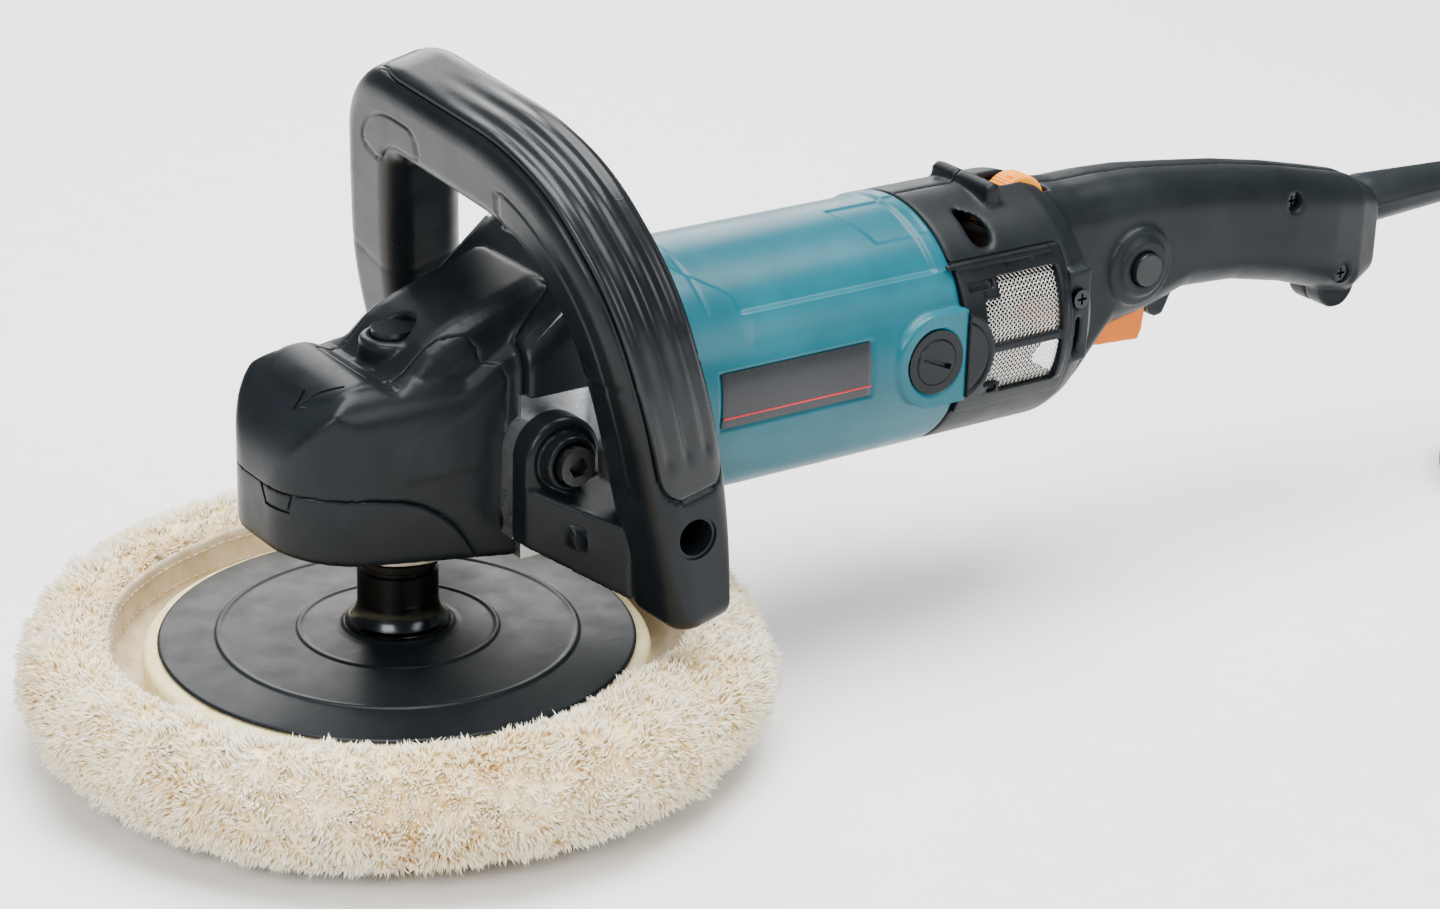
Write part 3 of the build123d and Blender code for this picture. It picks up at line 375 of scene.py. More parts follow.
BLACK = moulded("black_moulding", (0.0022, 0.0040, 0.0056), 0.33, 1300.0, 0.00003, 0.07)
COVER = moulded("black_cover", (0.0024, 0.0044, 0.0062), 0.37, 1100.0, 0.000025, 0.07, wear=0.3)
GRIP = moulded("black_grip", (0.0022, 0.0038, 0.0054), 0.30, 1700.0, 0.00002, 0.05, ior=1.36)
REAR = moulded("rear_shell", (0.0036, 0.0062, 0.0080), 0.42, 1200.0, 0.00005, 0.06)
TEAL = moulded("teal_housing", (0.0, 0.082, 0.112), 0.33, 900.0, 0.00002, 0.05, coat=0.08, wear=0.1, ior=1.3)
PLATE = moulded("dark_plate", (0.014, 0.016, 0.019), 0.28, 1500.0, 0.00001, 0.04, coat=0.3, wear=0.1)
RED = moulded("red_line", (0.55, 0.02, 0.03), 0.35)
ORANGE = moulded("signal_orange", (0.68, 0.150, 0.004), 0.42, 1400.0, 0.00003, 0.06)
AMBER = moulded("dial_amber", (0.95, 0.30, 0.002), 0.36, 1400.0, 0.00003, 0.06)
INNER = moulded("inner_plastic", (0.006, 0.006, 0.007), 0.6)
PAD = moulded("pad_rubber", (0.0030, 0.0048, 0.0060), 0.38, 900.0, 0.00003, 0.08, wear=0.3)
CORD_SKIN = moulded("cord_rubber", (0.008, 0.011, 0.013), 0.42, 1500.0, 0.00002, 0.05)
ALUMINIUM = metal("cast_aluminium", (0.66, 0.68, 0.70), 0.34, depth=0.00004, scale=900.0)
STEEL = metal("turned_steel", (0.60, 0.60, 0.62), 0.24, (1.0, 1.0, 12.0))
DARK_STEEL = metal("black_steel", (0.10, 0.105, 0.11), 0.36)
HUB_BLACK = metal("black_sleeve", (0.035, 0.038, 0.042), 0.22, (1.0, 1.0, 14.0))
MESH_STEEL = metal("woven_wire", (0.72, 0.71, 0.67), 0.40)
CORE = metal("core_steel", (0.32, 0.31, 0.30), 0.5, (14.0, 1.0, 1.0))
COPPER = metal("copper", (0.80, 0.42, 0.25), 0.35, (3.0, 1.0, 1.0))
FLEECE = wool_material()
SUEDE = soft_material("suede", (0.55, 0.42, 0.26), (0.76, 0.65, 0.48), 900.0, 0.00015)
FOAM = soft_material("foam", (0.74, 0.60, 0.28), (0.92, 0.82, 0.50), 1500.0, 0.0003, sheen=0.1)


# ----------------------------------------------------- carried-over CAD nodes
CARRIED = {
    ALUMINIUM: ["gear_housing", "gear_plate"],
    STEEL: ["spindle", "bevel_gear", "bevel_pinion", "helical_gear", "intermediate_shaft",
            "armature_shaft", "lower_spindle_bearing", "front_shaft_bearing", "rear_shaft_bearing",
            "front_motor_bearing", "rear_motor_bearing", "bearing_retainer", "trigger_pin",
            "dial_axle", "brush_springs", "shaft_lock_spring"],
    DARK_STEEL: ["handle_bolts", "gear_case_screws"],
    BLACK: ["brush_holders", "loop_handle", "loop_legs", "handle_arms", "filter_frames", "filter_clips", "brush_caps"],
    REAR: ["rear_cover_left", "rear_cover_right"],
    COVER: ["nose_cover", "lower_skirt", "neck_cover", "collar_cover"],
    GRIP: ["handle_grip", "lock_button", "shaft_lock_button"],
    TEAL: ["motor_housing"],
    INNER: ["side_plates", "cooling_fan", "switch_body", "speed_controller", "cord_clamp",
            "carbon_brushes"],
    ORANGE: ["trigger"],
    AMBER: ["speed_dial"],
    CORD_SKIN: ["cord_guard", "plug"],
    MESH_STEEL: ["filter_screens"],
    HUB_BLACK: ["pad_hub", "cover_screws"],
    CORE: ["field_core", "armature_core"],
    COPPER: ["field_coils", "commutator"],
    PAD: ["backing_pad"],
    FOAM: ["hook_ring"],
    SUEDE: ["bonnet_lining"],
    FLEECE: ["wool_fleece"],
}
for material, names in CARRIED.items():
    for name in names:
        node = NODES[name]
        node.data.materials.clear()
        node.data.materials.append(material)
        shade_smooth(node, 30)


# -------------------------------------------------- wool bonnet and its lining
LOCKS = 52000
FLEECE_OUTLINE = [
    (94.6, 36.6), (96.5, 39.6), (100.5, 41.6), (106, 41.2), (112, 38.2), (117, 32.5), (119.6, 26),
    (119.0, 19.5), (115.0, 13), (108, 8.4), (98, 5.4), (84, 3.8), (60, 3.2), (0.5, 3.2),
]
FLEECE_INSIDE = [(0.5, 15.0), (60, 15.0), (88, 15.0), (94.7, 21.8), (94.8, 30)]


def spaced(points, step):
    """The same line with evenly spaced points."""
    line = np.array(points, float)
    reach = np.concatenate([[0], np.cumsum(np.linalg.norm(np.diff(line, axis=0), axis=1))])
    places = np.linspace(0, reach[-1], max(2, int(round(reach[-1] / step)) + 1))
    return np.stack([np.interp(places, reach, line[:, k]) for k in range(line.shape[1])], axis=1)


def softened(line, rounds):
    line = line.copy()
    for _ in range(rounds):
        line[1:-1] = 0.25 * line[:-2] + 0.5 * line[1:-1] + 0.25 * line[2:]
    return line


def lumps(point, scale, seed):
    p = Vector(point) / scale + Vector((seed, 2 * seed, 0))
    return noise.noise(p)


def fleece_swell(point, weight):
    """How far the fleece stands out at a place: big soft waves, then lumps of curls."""
    wave = 2.2 * lumps(point, 62, 3.1) + 1.7 * lumps(point, 24, 7.7)
    curls = 1.9 * abs(lumps(point, 9.0, 1.3)) + 1.1 * abs(lumps(point, 4.6, 5.9))
    return weight * (wave + curls)


def mesh_object(name, points, faces, tip_tone_and_shade):
    """Large mesh in millimetres with a value per point for the fleece's tone and painted shade, made quickly."""
    mesh = bpy.data.meshes.new(name)
    mesh.vertices.add(len(points))
    mesh.vertices.foreach_set("co", (points * MM).astype(np.float32).ravel())
    sizes = np.array([len(f) for f in faces])
    flat = np.concatenate([np.asarray(f) for f in faces])
    mesh.loops.add(len(flat))
    mesh.loops.foreach_set("vertex_index", flat.astype(np.int32))
    mesh.polygons.add(len(faces))
    mesh.polygons.foreach_set("loop_start", np.concatenate([[0], np.cumsum(sizes)[:-1]]).astype(np.int32))
    mesh.update(calc_edges=True)
    shade = mesh.attributes.new("tip", "FLOAT", "POINT")
    shade.data.foreach_set("value", tip_tone_and_shade.astype(np.float32))
    return link(name, mesh)


def fleece_hide():
    """Base of the fleece, turned and then pushed out in waves and lumps."""
    outer = softened(spaced(FLEECE_OUTLINE, 1.7), 4)
    inside = spaced(FLEECE_INSIDE, 4.0)
    profile = np.concatenate([outer, inside])
    slope = np.gradient(outer, axis=0)
    normals = np.stack([slope[:, 1], -slope[:, 0]], axis=1) * -1
    normals /= np.linalg.norm(normals, axis=1)[:, None]
    sides = 460
    angles = np.linspace(0, 2 * math.pi, sides, endpoint=False)
    points = np.zeros((sides, len(profile), 3))
    tip_tone_and_shade = np.zeros((sides, len(profile)))
    for i, angle in enumerate(angles):
        c, s = math.cos(angle), math.sin(angle)
        for j, (r, z) in enumerate(profile):
            if j < len(outer):
                weight = min(1.0, j / 4) * (1.0 if r > 100 else max(0.25, 1 - (100 - r) / 12))
                swell = fleece_swell((r * c, r * s, z), weight)
                r += normals[j][0] * swell
                z = max(0.4, z + normals[j][1] * swell)
                # painted shade: the value grows with the swell, so the hollows between the lumps come out darker tan
                tip_tone_and_shade[i, j] = 0.16 + 0.10 * min(4.0, swell)
            points[i, j] = (r * c, r * s, z)
    run = np.concatenate([[0], np.cumsum(np.linalg.norm(np.diff(outer, axis=0), axis=1))])
    spots = np.tile(np.concatenate([run, np.full(len(inside), 1000.0)]), sides)
    points = bunched(points.reshape(-1, 3), spots)
    across = len(profile)
    i, j = np.meshgrid(np.arange(sides), np.arange(across), indexing="ij")
    i2, j2 = (i + 1) % sides, (j + 1) % across
    faces = np.stack([i * across + j, i2 * across + j, i2 * across + j2, i * across + j2], axis=2)
    return points.reshape(-1, 3), [tuple(f) for f in faces.reshape(-1, 4)], tip_tone_and_shade.ravel(), outer, normals


def fleece_tufts(outer, normals):
    """Short curled locks all over the hide. Neighbours lean the same way, so they gather in curls."""
    rng = np.random.default_rng(11)
    reach = np.concatenate([[0], np.cumsum(np.linalg.norm(np.diff(outer, axis=0), axis=1))])
    share = np.interp(np.linspace(0, reach[-1], 400), reach, outer[:, 0])
    places = np.linspace(0, reach[-1], 400)
    share = share * np.where(places > reach[-1] - 95, 0.10, 1.0)
    total = np.cumsum(share) / share.sum()
    count = LOCKS
    spots = np.interp(rng.uniform(0, 1, count), total, places)
    angles = rng.uniform(0, 2 * math.pi, count)
    radius = np.interp(spots, reach, outer[:, 0])
    height = np.interp(spots, reach, outer[:, 1])
    n_r = np.interp(spots, reach, normals[:, 0])
    n_z = np.interp(spots, reach, normals[:, 1])
    c, s = np.cos(angles), np.sin(angles)
    root = np.stack([radius * c, radius * s, height], axis=1)
    outward = np.stack([n_r * c, n_r * s, n_z], axis=1)
    swell, lean, reachy = np.zeros(count), np.zeros((count, 3)), np.zeros(count)
    for k in range(count):
        weight = min(1.0, spots[k] / 7) * (1.0 if radius[k] > 100 else 0.5)
        swell[k] = fleece_swell(root[k], weight)
        place = Vector(root[k])
        lean[k] = noise.noise_vector(place / 7.5) + 0.6 * noise.noise_vector(place / 3.4)
        reachy[k] = noise.noise(place / 9.0 + Vector((9, 9, 9)))
    root = bunched(root + outward * (swell - 0.8)[:, None], spots)
    lead = outward + 1.05 * lean + np.stack([0.22 * c, 0.22 * s, np.full(count, -0.10)], axis=1)
    lead /= np.linalg.norm(lead, axis=1)[:, None]
    length = (rng.uniform(3.0, 5.6, count) + 2.2 * reachy) * np.where(height < 5, 0.6, 1.0)
    length = (length * np.where(spots < 8, 0.7, 1.0))[:, None]
    side = np.cross(lead, rng.normal(0, 1, (count, 3)))
    side /= np.linalg.norm(side, axis=1)[:, None]
    other = np.cross(lead, side)
    curl = rng.uniform(0.3, 1.3, (count, 1))
    thick = rng.uniform(0.36, 0.62, (count, 1))
    points = np.zeros((count, 7, 3))
    tip_tone_and_shade = np.zeros((count, 7))
    middle = root + lead * length * 0.52 + side * curl
    tip = root + lead * length + side * curl * 0.2 + rng.normal(0, 0.35, (count, 3))
    for a in range(3):
        turn = 2 * math.pi * a / 3
        ring = side * math.cos(turn) + other * math.sin(turn)
        points[:, a] = root + ring * thick
        points[:, 3 + a] = middle + ring * thick * 0.85
    points[:, 6] = tip
    # painted shade: locks in the hollows (low swell) and shorter locks come out darker, with random variation on top
    tone_and_shade = (0.10 * np.clip(swell, -2, 4) + 0.06 * reachy + rng.uniform(-0.07, 0.09, count))[:, None]
    # darker at the roots and paler at the ends of each lock: painted shade within the pile
    tip_tone_and_shade[:, :3] = 0.14 + tone_and_shade
    tip_tone_and_shade[:, 3:6] = 0.34 + tone_and_shade
    tip_tone_and_shade[:, 6:] = 0.52 + tone_and_shade
    points[:, :, 2] = np.maximum(points[:, :, 2], 0.12)
    shape = [(0, 1, 4, 3), (1, 2, 5, 4), (2, 0, 3, 5), (3, 4, 6), (4, 5, 6), (5, 3, 6), (2, 1, 0)]
    starts = np.arange(count) * 7
    faces = []
    for face in shape:
        faces.extend(map(tuple, starts[:, None] + np.array(face)[None, :]))
    return points.reshape(-1, 3), faces, tip_tone_and_shade.ravel()


def bunched(points, spots):
    """The wool's crest bulges in over the lining where it is pushed up, right of the front."""
    angle = np.degrees(np.arctan2(points[:, 1], points[:, 0]))
    bulge = 6.5 * np.exp(-((angle + 66) / 15.0) ** 2) * np.exp(-(spots / 16.0) ** 2)
    bulge += 3.0 * np.exp(-((angle + 96) / 22.0) ** 2) * np.exp(-(spots / 12.0) ** 2)
    size = np.hypot(points[:, 0], points[:, 1])
    scale = ((size - bulge) / size)[:, None]
    moved = points.copy()
    moved[:, :2] *= scale
    moved[:, 2] += 0.45 * bulge
    return moved


def make_fleece():
    points, faces, tip_tone_and_shade, outer, normals = fleece_hide()
    more, more_faces, more_tip_tone_and_shade = fleece_tufts(outer, normals)
    shift = len(points)
    faces = faces + [tuple(int(v) + shift for v in f) for f in more_faces]
    piece = mesh_object("fleece", np.concatenate([points, more]), faces, np.concatenate([tip_tone_and_shade, more_tip_tone_and_shade]))
    dress(piece, "fleece", FLEECE, "spindle_body", "wool", "wool_fleece")


def make_lining():
    """Suede dish: a floor under the ring and a skirt that waves a little, with a stitched hem."""
    sides = 288
    inner = spaced([(12, 17.4), (60, 17.4), (86.8, 17.4), (92.8, 23.2), (93.0, 30), (93.0, 36.4)], 2.2)
    outer = spaced([(94.3, 37.6), (94.6, 30), (94.6, 22), (88, 15.3), (60, 15.2), (12, 15.2)], 2.2)
    profile = np.concatenate([inner, [[93.4, 37.5]], outer])
    angles = np.linspace(0, 2 * math.pi, sides, endpoint=False)
    rows = np.zeros((sides, len(profile), 3))
    for i, angle in enumerate(angles):
        c, s = math.cos(angle), math.sin(angle)
        for j, (r, z) in enumerate(profile):
            height = max(0.0, (z - 23) / 14)
            r += height * (0.9 * lumps((c * 93, s * 93, z * 0.3), 19, 4.4) + 0.35 * lumps((c * 93, s * 93, z), 7, 9.4))
            z += height * (1.3 * lumps((c * 93, s * 93, 0), 26, 8.8))
            rows[i, j] = (r * c, r * s, z)
    skirt = grid("lining", rows, close_across=True, close_along=True)
    pieces = [skirt]
    for height, radius in ((34.2, 92.75), (26.0, 92.75)):
        stitches = 150
        for k in range(stitches):
            angle = 2 * math.pi * k / stitches
            c, s = math.cos(angle), math.sin(angle)
            wave = max(0.0, (height - 23) / 14)
            r = radius + wave * (0.9 * lumps((c * 93, s * 93, height * 0.3), 19, 4.4)
                                 + 0.35 * lumps((c * 93, s * 93, height), 7, 9.4))
            z = height + wave * 1.3 * lumps((c * 93, s * 93, 0), 26, 8.8)
            stitch = [(-1.3, -0.25), (1.3, -0.25), (1.3, 0.25), (-1.3, 0.25)]
            near = [(r * c - t * s, r * s + t * c, z + h) for t, h in stitch]
            far = [((r - 0.35) * c - 0.7 * t * s, (r - 0.35) * s + 0.7 * t * c, z + h * 0.6) for t, h in stitch]
            faces = [(0, 1, 2, 3), (4, 5, 6, 7)] + [(a, (a + 1) % 4, 4 + (a + 1) % 4, 4 + a) for a in range(4)]
            pieces.append(from_mm("stitch", near + far, faces))
    piece = joined(pieces)
    dress(piece, "lining", SUEDE, "spindle_body", "lining", "bonnet_lining")


def make_foam_ring():
    sides = 240
    outline = softened(spaced([
        (12.5, 17.6), (79.5, 17.6), (82.2, 18.6), (82.6, 20.5), (81.7, 21.5), (82.0, 24), (82.3, 28),
        (82.1, 30.8), (81.0, 32.1), (79, 32.2), (12.5, 32.2),
    ], 1.2), 2)
    angles = np.linspace(0, 2 * math.pi, sides, endpoint=False)
    rows = np.zeros((sides, len(outline), 3))
    for i, angle in enumerate(angles):
        c, s = math.cos(angle), math.sin(angle)
        for j, (r, z) in enumerate(outline):
            if r > 70:
                r += 0.35 * lumps((r * c, r * s, z), 6, 2.2)
                z += 0.2 * lumps((r * c, r * s, 0), 9, 6.2)
            rows[i, j] = (r * c, r * s, z)
    piece = grid("foam_ring", rows, close_across=True, close_along=True)
    dress(piece, "foam_ring", FOAM, "spindle_body", "foam", "hook_ring")


def make_backing_pad():
    """Rubber disc that cones up to its hub, with two raised circles and a thin flexible lip."""
    outline = softened(spaced([
        (7.2, 32.4), (76.0, 32.4), (77.4, 32.7), (77.6, 33.3), (76.8, 33.8), (74.5, 34.0), (59.2, 35.15),
        (58.7, 35.5), (58.0, 35.75), (57.3, 35.5), (56.7, 35.3), (33.2, 36.2), (32.7, 36.55),
        (32.1, 36.75), (31.4, 36.55), (30.8, 36.35), (20.5, 37.2), (18.6, 37.7), (17.6, 38.45), (7.2, 38.45),
    ], 0.35), 1)
    piece = lathe("backing_disc", outline, 288)
    dress(piece, "backing_disc", PAD, "spindle_body", "pad_rubber", "backing_pad", angle=35)


def make_hub():
    """Dark sleeve with a flared flange, a groove and two flats for the spanner."""
    outline = [
        (7.05, 38.5), (16.9, 38.5), (17.3, 38.8), (17.3, 39.3), (16.9, 39.7), (15.6, 40.2), (14.4, 41.6),
        (13.7, 43.4), (13.3, 45.2), (13.2, 46), (13.2, 57.6), (12.9, 57.9), (12.5, 58.2), (12.5, 59.2),
        (12.9, 59.5), (13.2, 59.8), (13.2, 62.0), (12.8, 62.4), (7.05, 62.4),
    ]
    piece = lathe("hub_sleeve", outline, 128)
    for side in (-1, 1):
        boolean(piece, box_mm(-9, 9, min(side * 12.2, side * 14), max(side * 12.2, side * 14), 47.5, 56.5), "DIFFERENCE")
    dress(piece, "hub_sleeve", HUB_BLACK, "spindle_body", "black_hub", "pad_hub", angle=25)


make_fleece()
make_lining()
make_foam_ring()
make_backing_pad()
make_hub()


# ------------------------------------------------------------ gear head covers
COVER_WALL = 2.3
HEAD_REAR = 27.0


def stepped(side, halves):
    """Side outline made into a solid that narrows towards its top: (half width, drop) pairs."""
    solids = []
    for half, fall in halves:
        solids.append(prism("Y", [(x, z - fall) if z > 105 else (x, z) for x, z in side], -half, half))
    body = solids[0]
    for solid in solids[1:]:
        boolean(body, solid, "UNION")
    return body


def head_solid():
    """Outer form of nose, neck, shoulders and collar in one skin."""
    side = [(-50, 78), (27, 66.3), (27, 131), (-4, 131), (-14, 127.3), (-18, 129.4)]
    for k in range(21):
        angle = math.pi / 2 * k / 20
        side.append((-22 - 28 * math.sin(angle), 101 + 29.8 * max(0.0, math.cos(angle)) ** 1.1))
    nose = prism("Y", side, -30, 30)
    plan = [(27, -30), (27, 30)]
    for k in range(25):
        angle = math.radians(90 + 90 * k / 24)
        plan.append((-27 + 23 * math.cos(angle), 7 + 23 * math.sin(angle)))
    for k in range(25):
        angle = math.radians(180 + 90 * k / 24)
        plan.append((-27 + 23 * math.cos(angle), -7 + 23 * math.sin(angle)))
    boolean(nose, prism("Z", plan, 60, 150), "INTERSECT")
    section = round_rect(60, 100, 13, (0, 131.2 - 50))
    boolean(nose, prism("X", section, -60, 40), "INTERSECT")
    neck_side = [
        (-18, 100), (-18, 125.4), (-12, 128), (-8, 131), (-4, 135), (0, 138.6), (5, 141.6), (10, 143.8),
        (22, 148), (42, 154.5), (42, 100),
    ]
    neck = stepped(neck_side, [(15.5, 0), (18.8, 0.7), (21.5, 2.2), (23.3, 4.5), (24.5, 8)])
    shoulder = stepped(
        [(-14, 100), (-14, 121), (8, 127), (27, 139), (27, 100)], [(23.8, 0), (27, 1), (29.3, 3), (30.4, 7.2)]
    )
    collar_side = [
        (HEAD_REAR, 121.6), (HEAD_REAR, 139.3), (42.5, 151.3), (53, 159), (58, 162), (60, 162), (60, 126),
    ]
    collar = stepped(collar_side, [(27.6, 0), (31, 1), (33.8, 3), (35.6, 5.4), (36.4, 8.4)])
    pocket = rod("Z", (-1, 0), 10.6, 115, 137.2)
    for part in (neck, shoulder, collar, pocket):
        boolean(nose, part, "UNION")
    remeshed(nose, 0.85, 16)
    for vertex, normal in zip(nose.data.vertices, nose.data.vertex_normals):
        vertex.co += normal.vector * 0.3 * MM
    return nose


def raise_plateau(head):
    """Soft step round the flat top of the nose."""
    for vertex, normal in zip(head.data.vertices, head.data.vertex_normals):
        x, y, z = (c / MM for c in vertex.co)
        if normal.vector.z > 0.35 and z > 112 and x < -12:
            dx = max(0.0, -26 - x)
            dy = max(0.0, abs(y) - 11)
            away = math.hypot(dx, dy)
            lift = 0.9 * float(smoothstep(12.3, 10.6, away))
            vertex.co.z += lift * MM
    return head


def shrunk(piece, depth):
    """The same skin set in by a wall's thickness."""
    inner = copied(piece)
    for vertex, normal in zip(inner.data.vertices, inner.data.vertex_normals):
        vertex.co -= normal.vector * depth * MM
    return remeshed(inner, 1.3, 0)


def groove_line(points, width, low, high):
    """Narrow upright wall along a line in plan, for cutting an engraved mark."""
    pieces = []
    for (x0, y0), (x1, y1) in zip(points[:-1], points[1:]):
        length = math.hypot(x1 - x0, y1 - y0)
        ux, uy = (x1 - x0) / length, (y1 - y0) / length
        wx, wy = -uy * width / 2, ux * width / 2
        corners = [(x0 + wx, y0 + wy), (x1 + wx, y1 + wy), (x1 - wx, y1 - wy), (x0 - wx, y0 - wy)]
        pieces.append(prism("Z", corners, low, high))
    body = pieces[0]
    for piece in pieces[1:]:
        boolean(body, piece, "UNION")
    return body


def skirt_space():
    arch = [
        (-60, 60), (12.5, 60), (12.5, 66), (10.5, 70.5), (7, 77), (3, 82.5), (-2, 87), (-8, 91), (-14, 93.5),
        (-26, 96.5), (-40, 98.5), (-60, 99.5),
    ]
    return prism("Y", arch, -60, 60)


def neck_space():
    half = [(-19.5, 16), (-8, 17.3), (4, 18.2), (12, 22), (19, 27), (23, 31), (HEAD_REAR, 36)]
    region = prism("Z", half + [(x, -y) for x, y in reversed(half)], 109, 170)
    plate = prism("Z", [(26.5, -27), (28.5, -27), (42.6, -22), (42.6, 22), (28.5, 27), (26.5, 27)], 135, 170)
    return boolean(region, plate, "UNION")


def make_head_covers():
    head = raise_plateau(head_solid())
    inner = shrunk(head, COVER_WALL)
    shell = boolean(copied(head), inner, "DIFFERENCE")
    boolean(shell, rod("Z", (0, 0), 21.5, 50, 90), "DIFFERENCE")
    boolean(shell, rod("Z", (-1, 0), 7.2, 110, 170), "DIFFERENCE")
    boolean(shell, box_mm(51, 61.5, -20, 20, 145, 170), "DIFFERENCE")
    boolean(shell, box_mm(HEAD_REAR - 0.1, 70, -60, 60, 50, 121.6), "DIFFERENCE")
    boolean(shell, box_mm(59.9, 80, -60, 60, 50, 170), "DIFFERENCE")
    skirt_region, neck_region = skirt_space(), neck_space()
    skirt = boolean(copied(shell), skirt_region, "INTERSECT", keep_tool=True)
    boolean(shell, skirt_region, "DIFFERENCE")
    neck = boolean(copied(shell), neck_region, "INTERSECT", keep_tool=True)
    boolean(shell, neck_region, "DIFFERENCE")
    nose = boolean(copied(shell), box_mm(-60, HEAD_REAR - 0.05, -60, 60, 50, 170), "INTERSECT")
    collar = boolean(shell, box_mm(HEAD_REAR + 0.05, 70, -60, 60, 50, 170), "INTERSECT")
    # marks: a turning arrow on the plateau, a latch outline on the skirt's front
    arrow = groove_line([(-28.5, -18.5), (-40, -9)], 1.2, 105, 140)
    boolean(arrow, groove_line([(-35.8, -7.0), (-40.6, -8.4), (-39.4, -13.2)], 1.2, 105, 140), "UNION")
    boolean(arrow, inner_skin(head, 0.6), "DIFFERENCE")
    for piece, name, node in (
        (nose, "nose_shell", "nose_cover"), (skirt, "nose_skirt", "lower_skirt"),
        (neck, "neck_shell", "neck_cover"), (collar, "collar_shell", "collar_cover"),
    ):
        remeshed(piece, 0.62, 3)
        if piece is nose:
            boolean(piece, arrow, "DIFFERENCE")
        if piece is skirt:
            latch = prism("X", [(-20, 101), (-2, 101), (-6.5, 92.5), (-17.5, 92.5)], -60, -40)
            inside = prism("X", [(-18.6, 102), (-3.4, 102), (-7.4, 93.7), (-16.6, 93.7)], -60, -40)
            boolean(latch, inside, "DIFFERENCE")
            boolean(latch, inner_skin(head, 0.7), "DIFFERENCE")
            boolean(piece, latch, "DIFFERENCE")
        dress(piece, name, COVER, "root", "black_cover", node, angle=40)
    drop(head)


def inner_skin(head, depth):
    skin = copied(head)
    for vertex, normal in zip(skin.data.vertices, skin.data.vertex_normals):
        vertex.co -= normal.vector * depth * MM
    return skin


# ------------------------------------------------------------------ loop handle
LOOP_LEAN = math.radians(13.0)
LOOP_ORIGIN = np.array([57.6, 0.0, 84.0])
LOOP_FRONT = np.array([-math.cos(LOOP_LEAN), 0.0, -math.sin(LOOP_LEAN)])
LOOP_UP = np.array([-math.sin(LOOP_LEAN), 0.0, math.cos(LOOP_LEAN)])
LOOP_HALF_DEPTH = 15.0
LEG_REAR = 67.4         # the legs reach no further back than this
LEG_TOP = 58.0          # height in the loop's plane where the legs meet the arch
LOOP_HALF_THICK = 16.0
LOOP_ROUND = 9.0
GRIP_HALF = 12.8        # half width of the soft grip, measured round the bar
GRIP_FOOT = 20.0        # height of its lower end in the loop's plane, on the left leg
GRIP_END_Y = 39.0       # its other end, where the top turns down to the right leg
GRIP_ROUND = 10.0
FRONT_PANELS = [(134, 176), (224, 334)]    # runs along the bar of the outlined panels


def filleted(corners, radii, step):
    """Line through corners with a round bend at each, evenly spaced."""
    corners = [np.array(c, float) for c in corners]
    points = [corners[0]]
    for before, corner, after, radius in zip(corners[:-2], corners[1:-1], corners[2:], radii):
        a = (before - corner) / np.linalg.norm(before - corner)
        b = (after - corner) / np.linalg.norm(after - corner)
        half = math.acos(max(-1, min(1, float(a @ b)))) / 2
        cut = min(radius / math.tan(half), 0.48 * np.linalg.norm(before - corner),
                  0.48 * np.linalg.norm(after - corner))
        reach = cut * math.tan(half)
        middle = corner + (a + b) / np.linalg.norm(a + b) * reach / math.sin(half)
        start, end = corner + a * cut, corner + b * cut
        for t in np.linspace(0, 1, 16):
            spoke = (start - middle) * (1 - t) + (end - middle) * t
            points.append(middle + spoke / np.linalg.norm(spoke) * reach)
    points.append(corners[-1])
    return spaced(points, step)


def loop_path(step):
    """Middle line of the bar, from the right foot over a high corner to the left foot."""
    corners = [(75, -27), (75, 48), (64, 78), (48, 118.5), (-27, 112.5), (-48, 104.5), (-69, 80.5),
               (-75, 48), (-75, -27)]
    return filleted(corners, [120, 120, 24, 120, 120, 120, 120], step)


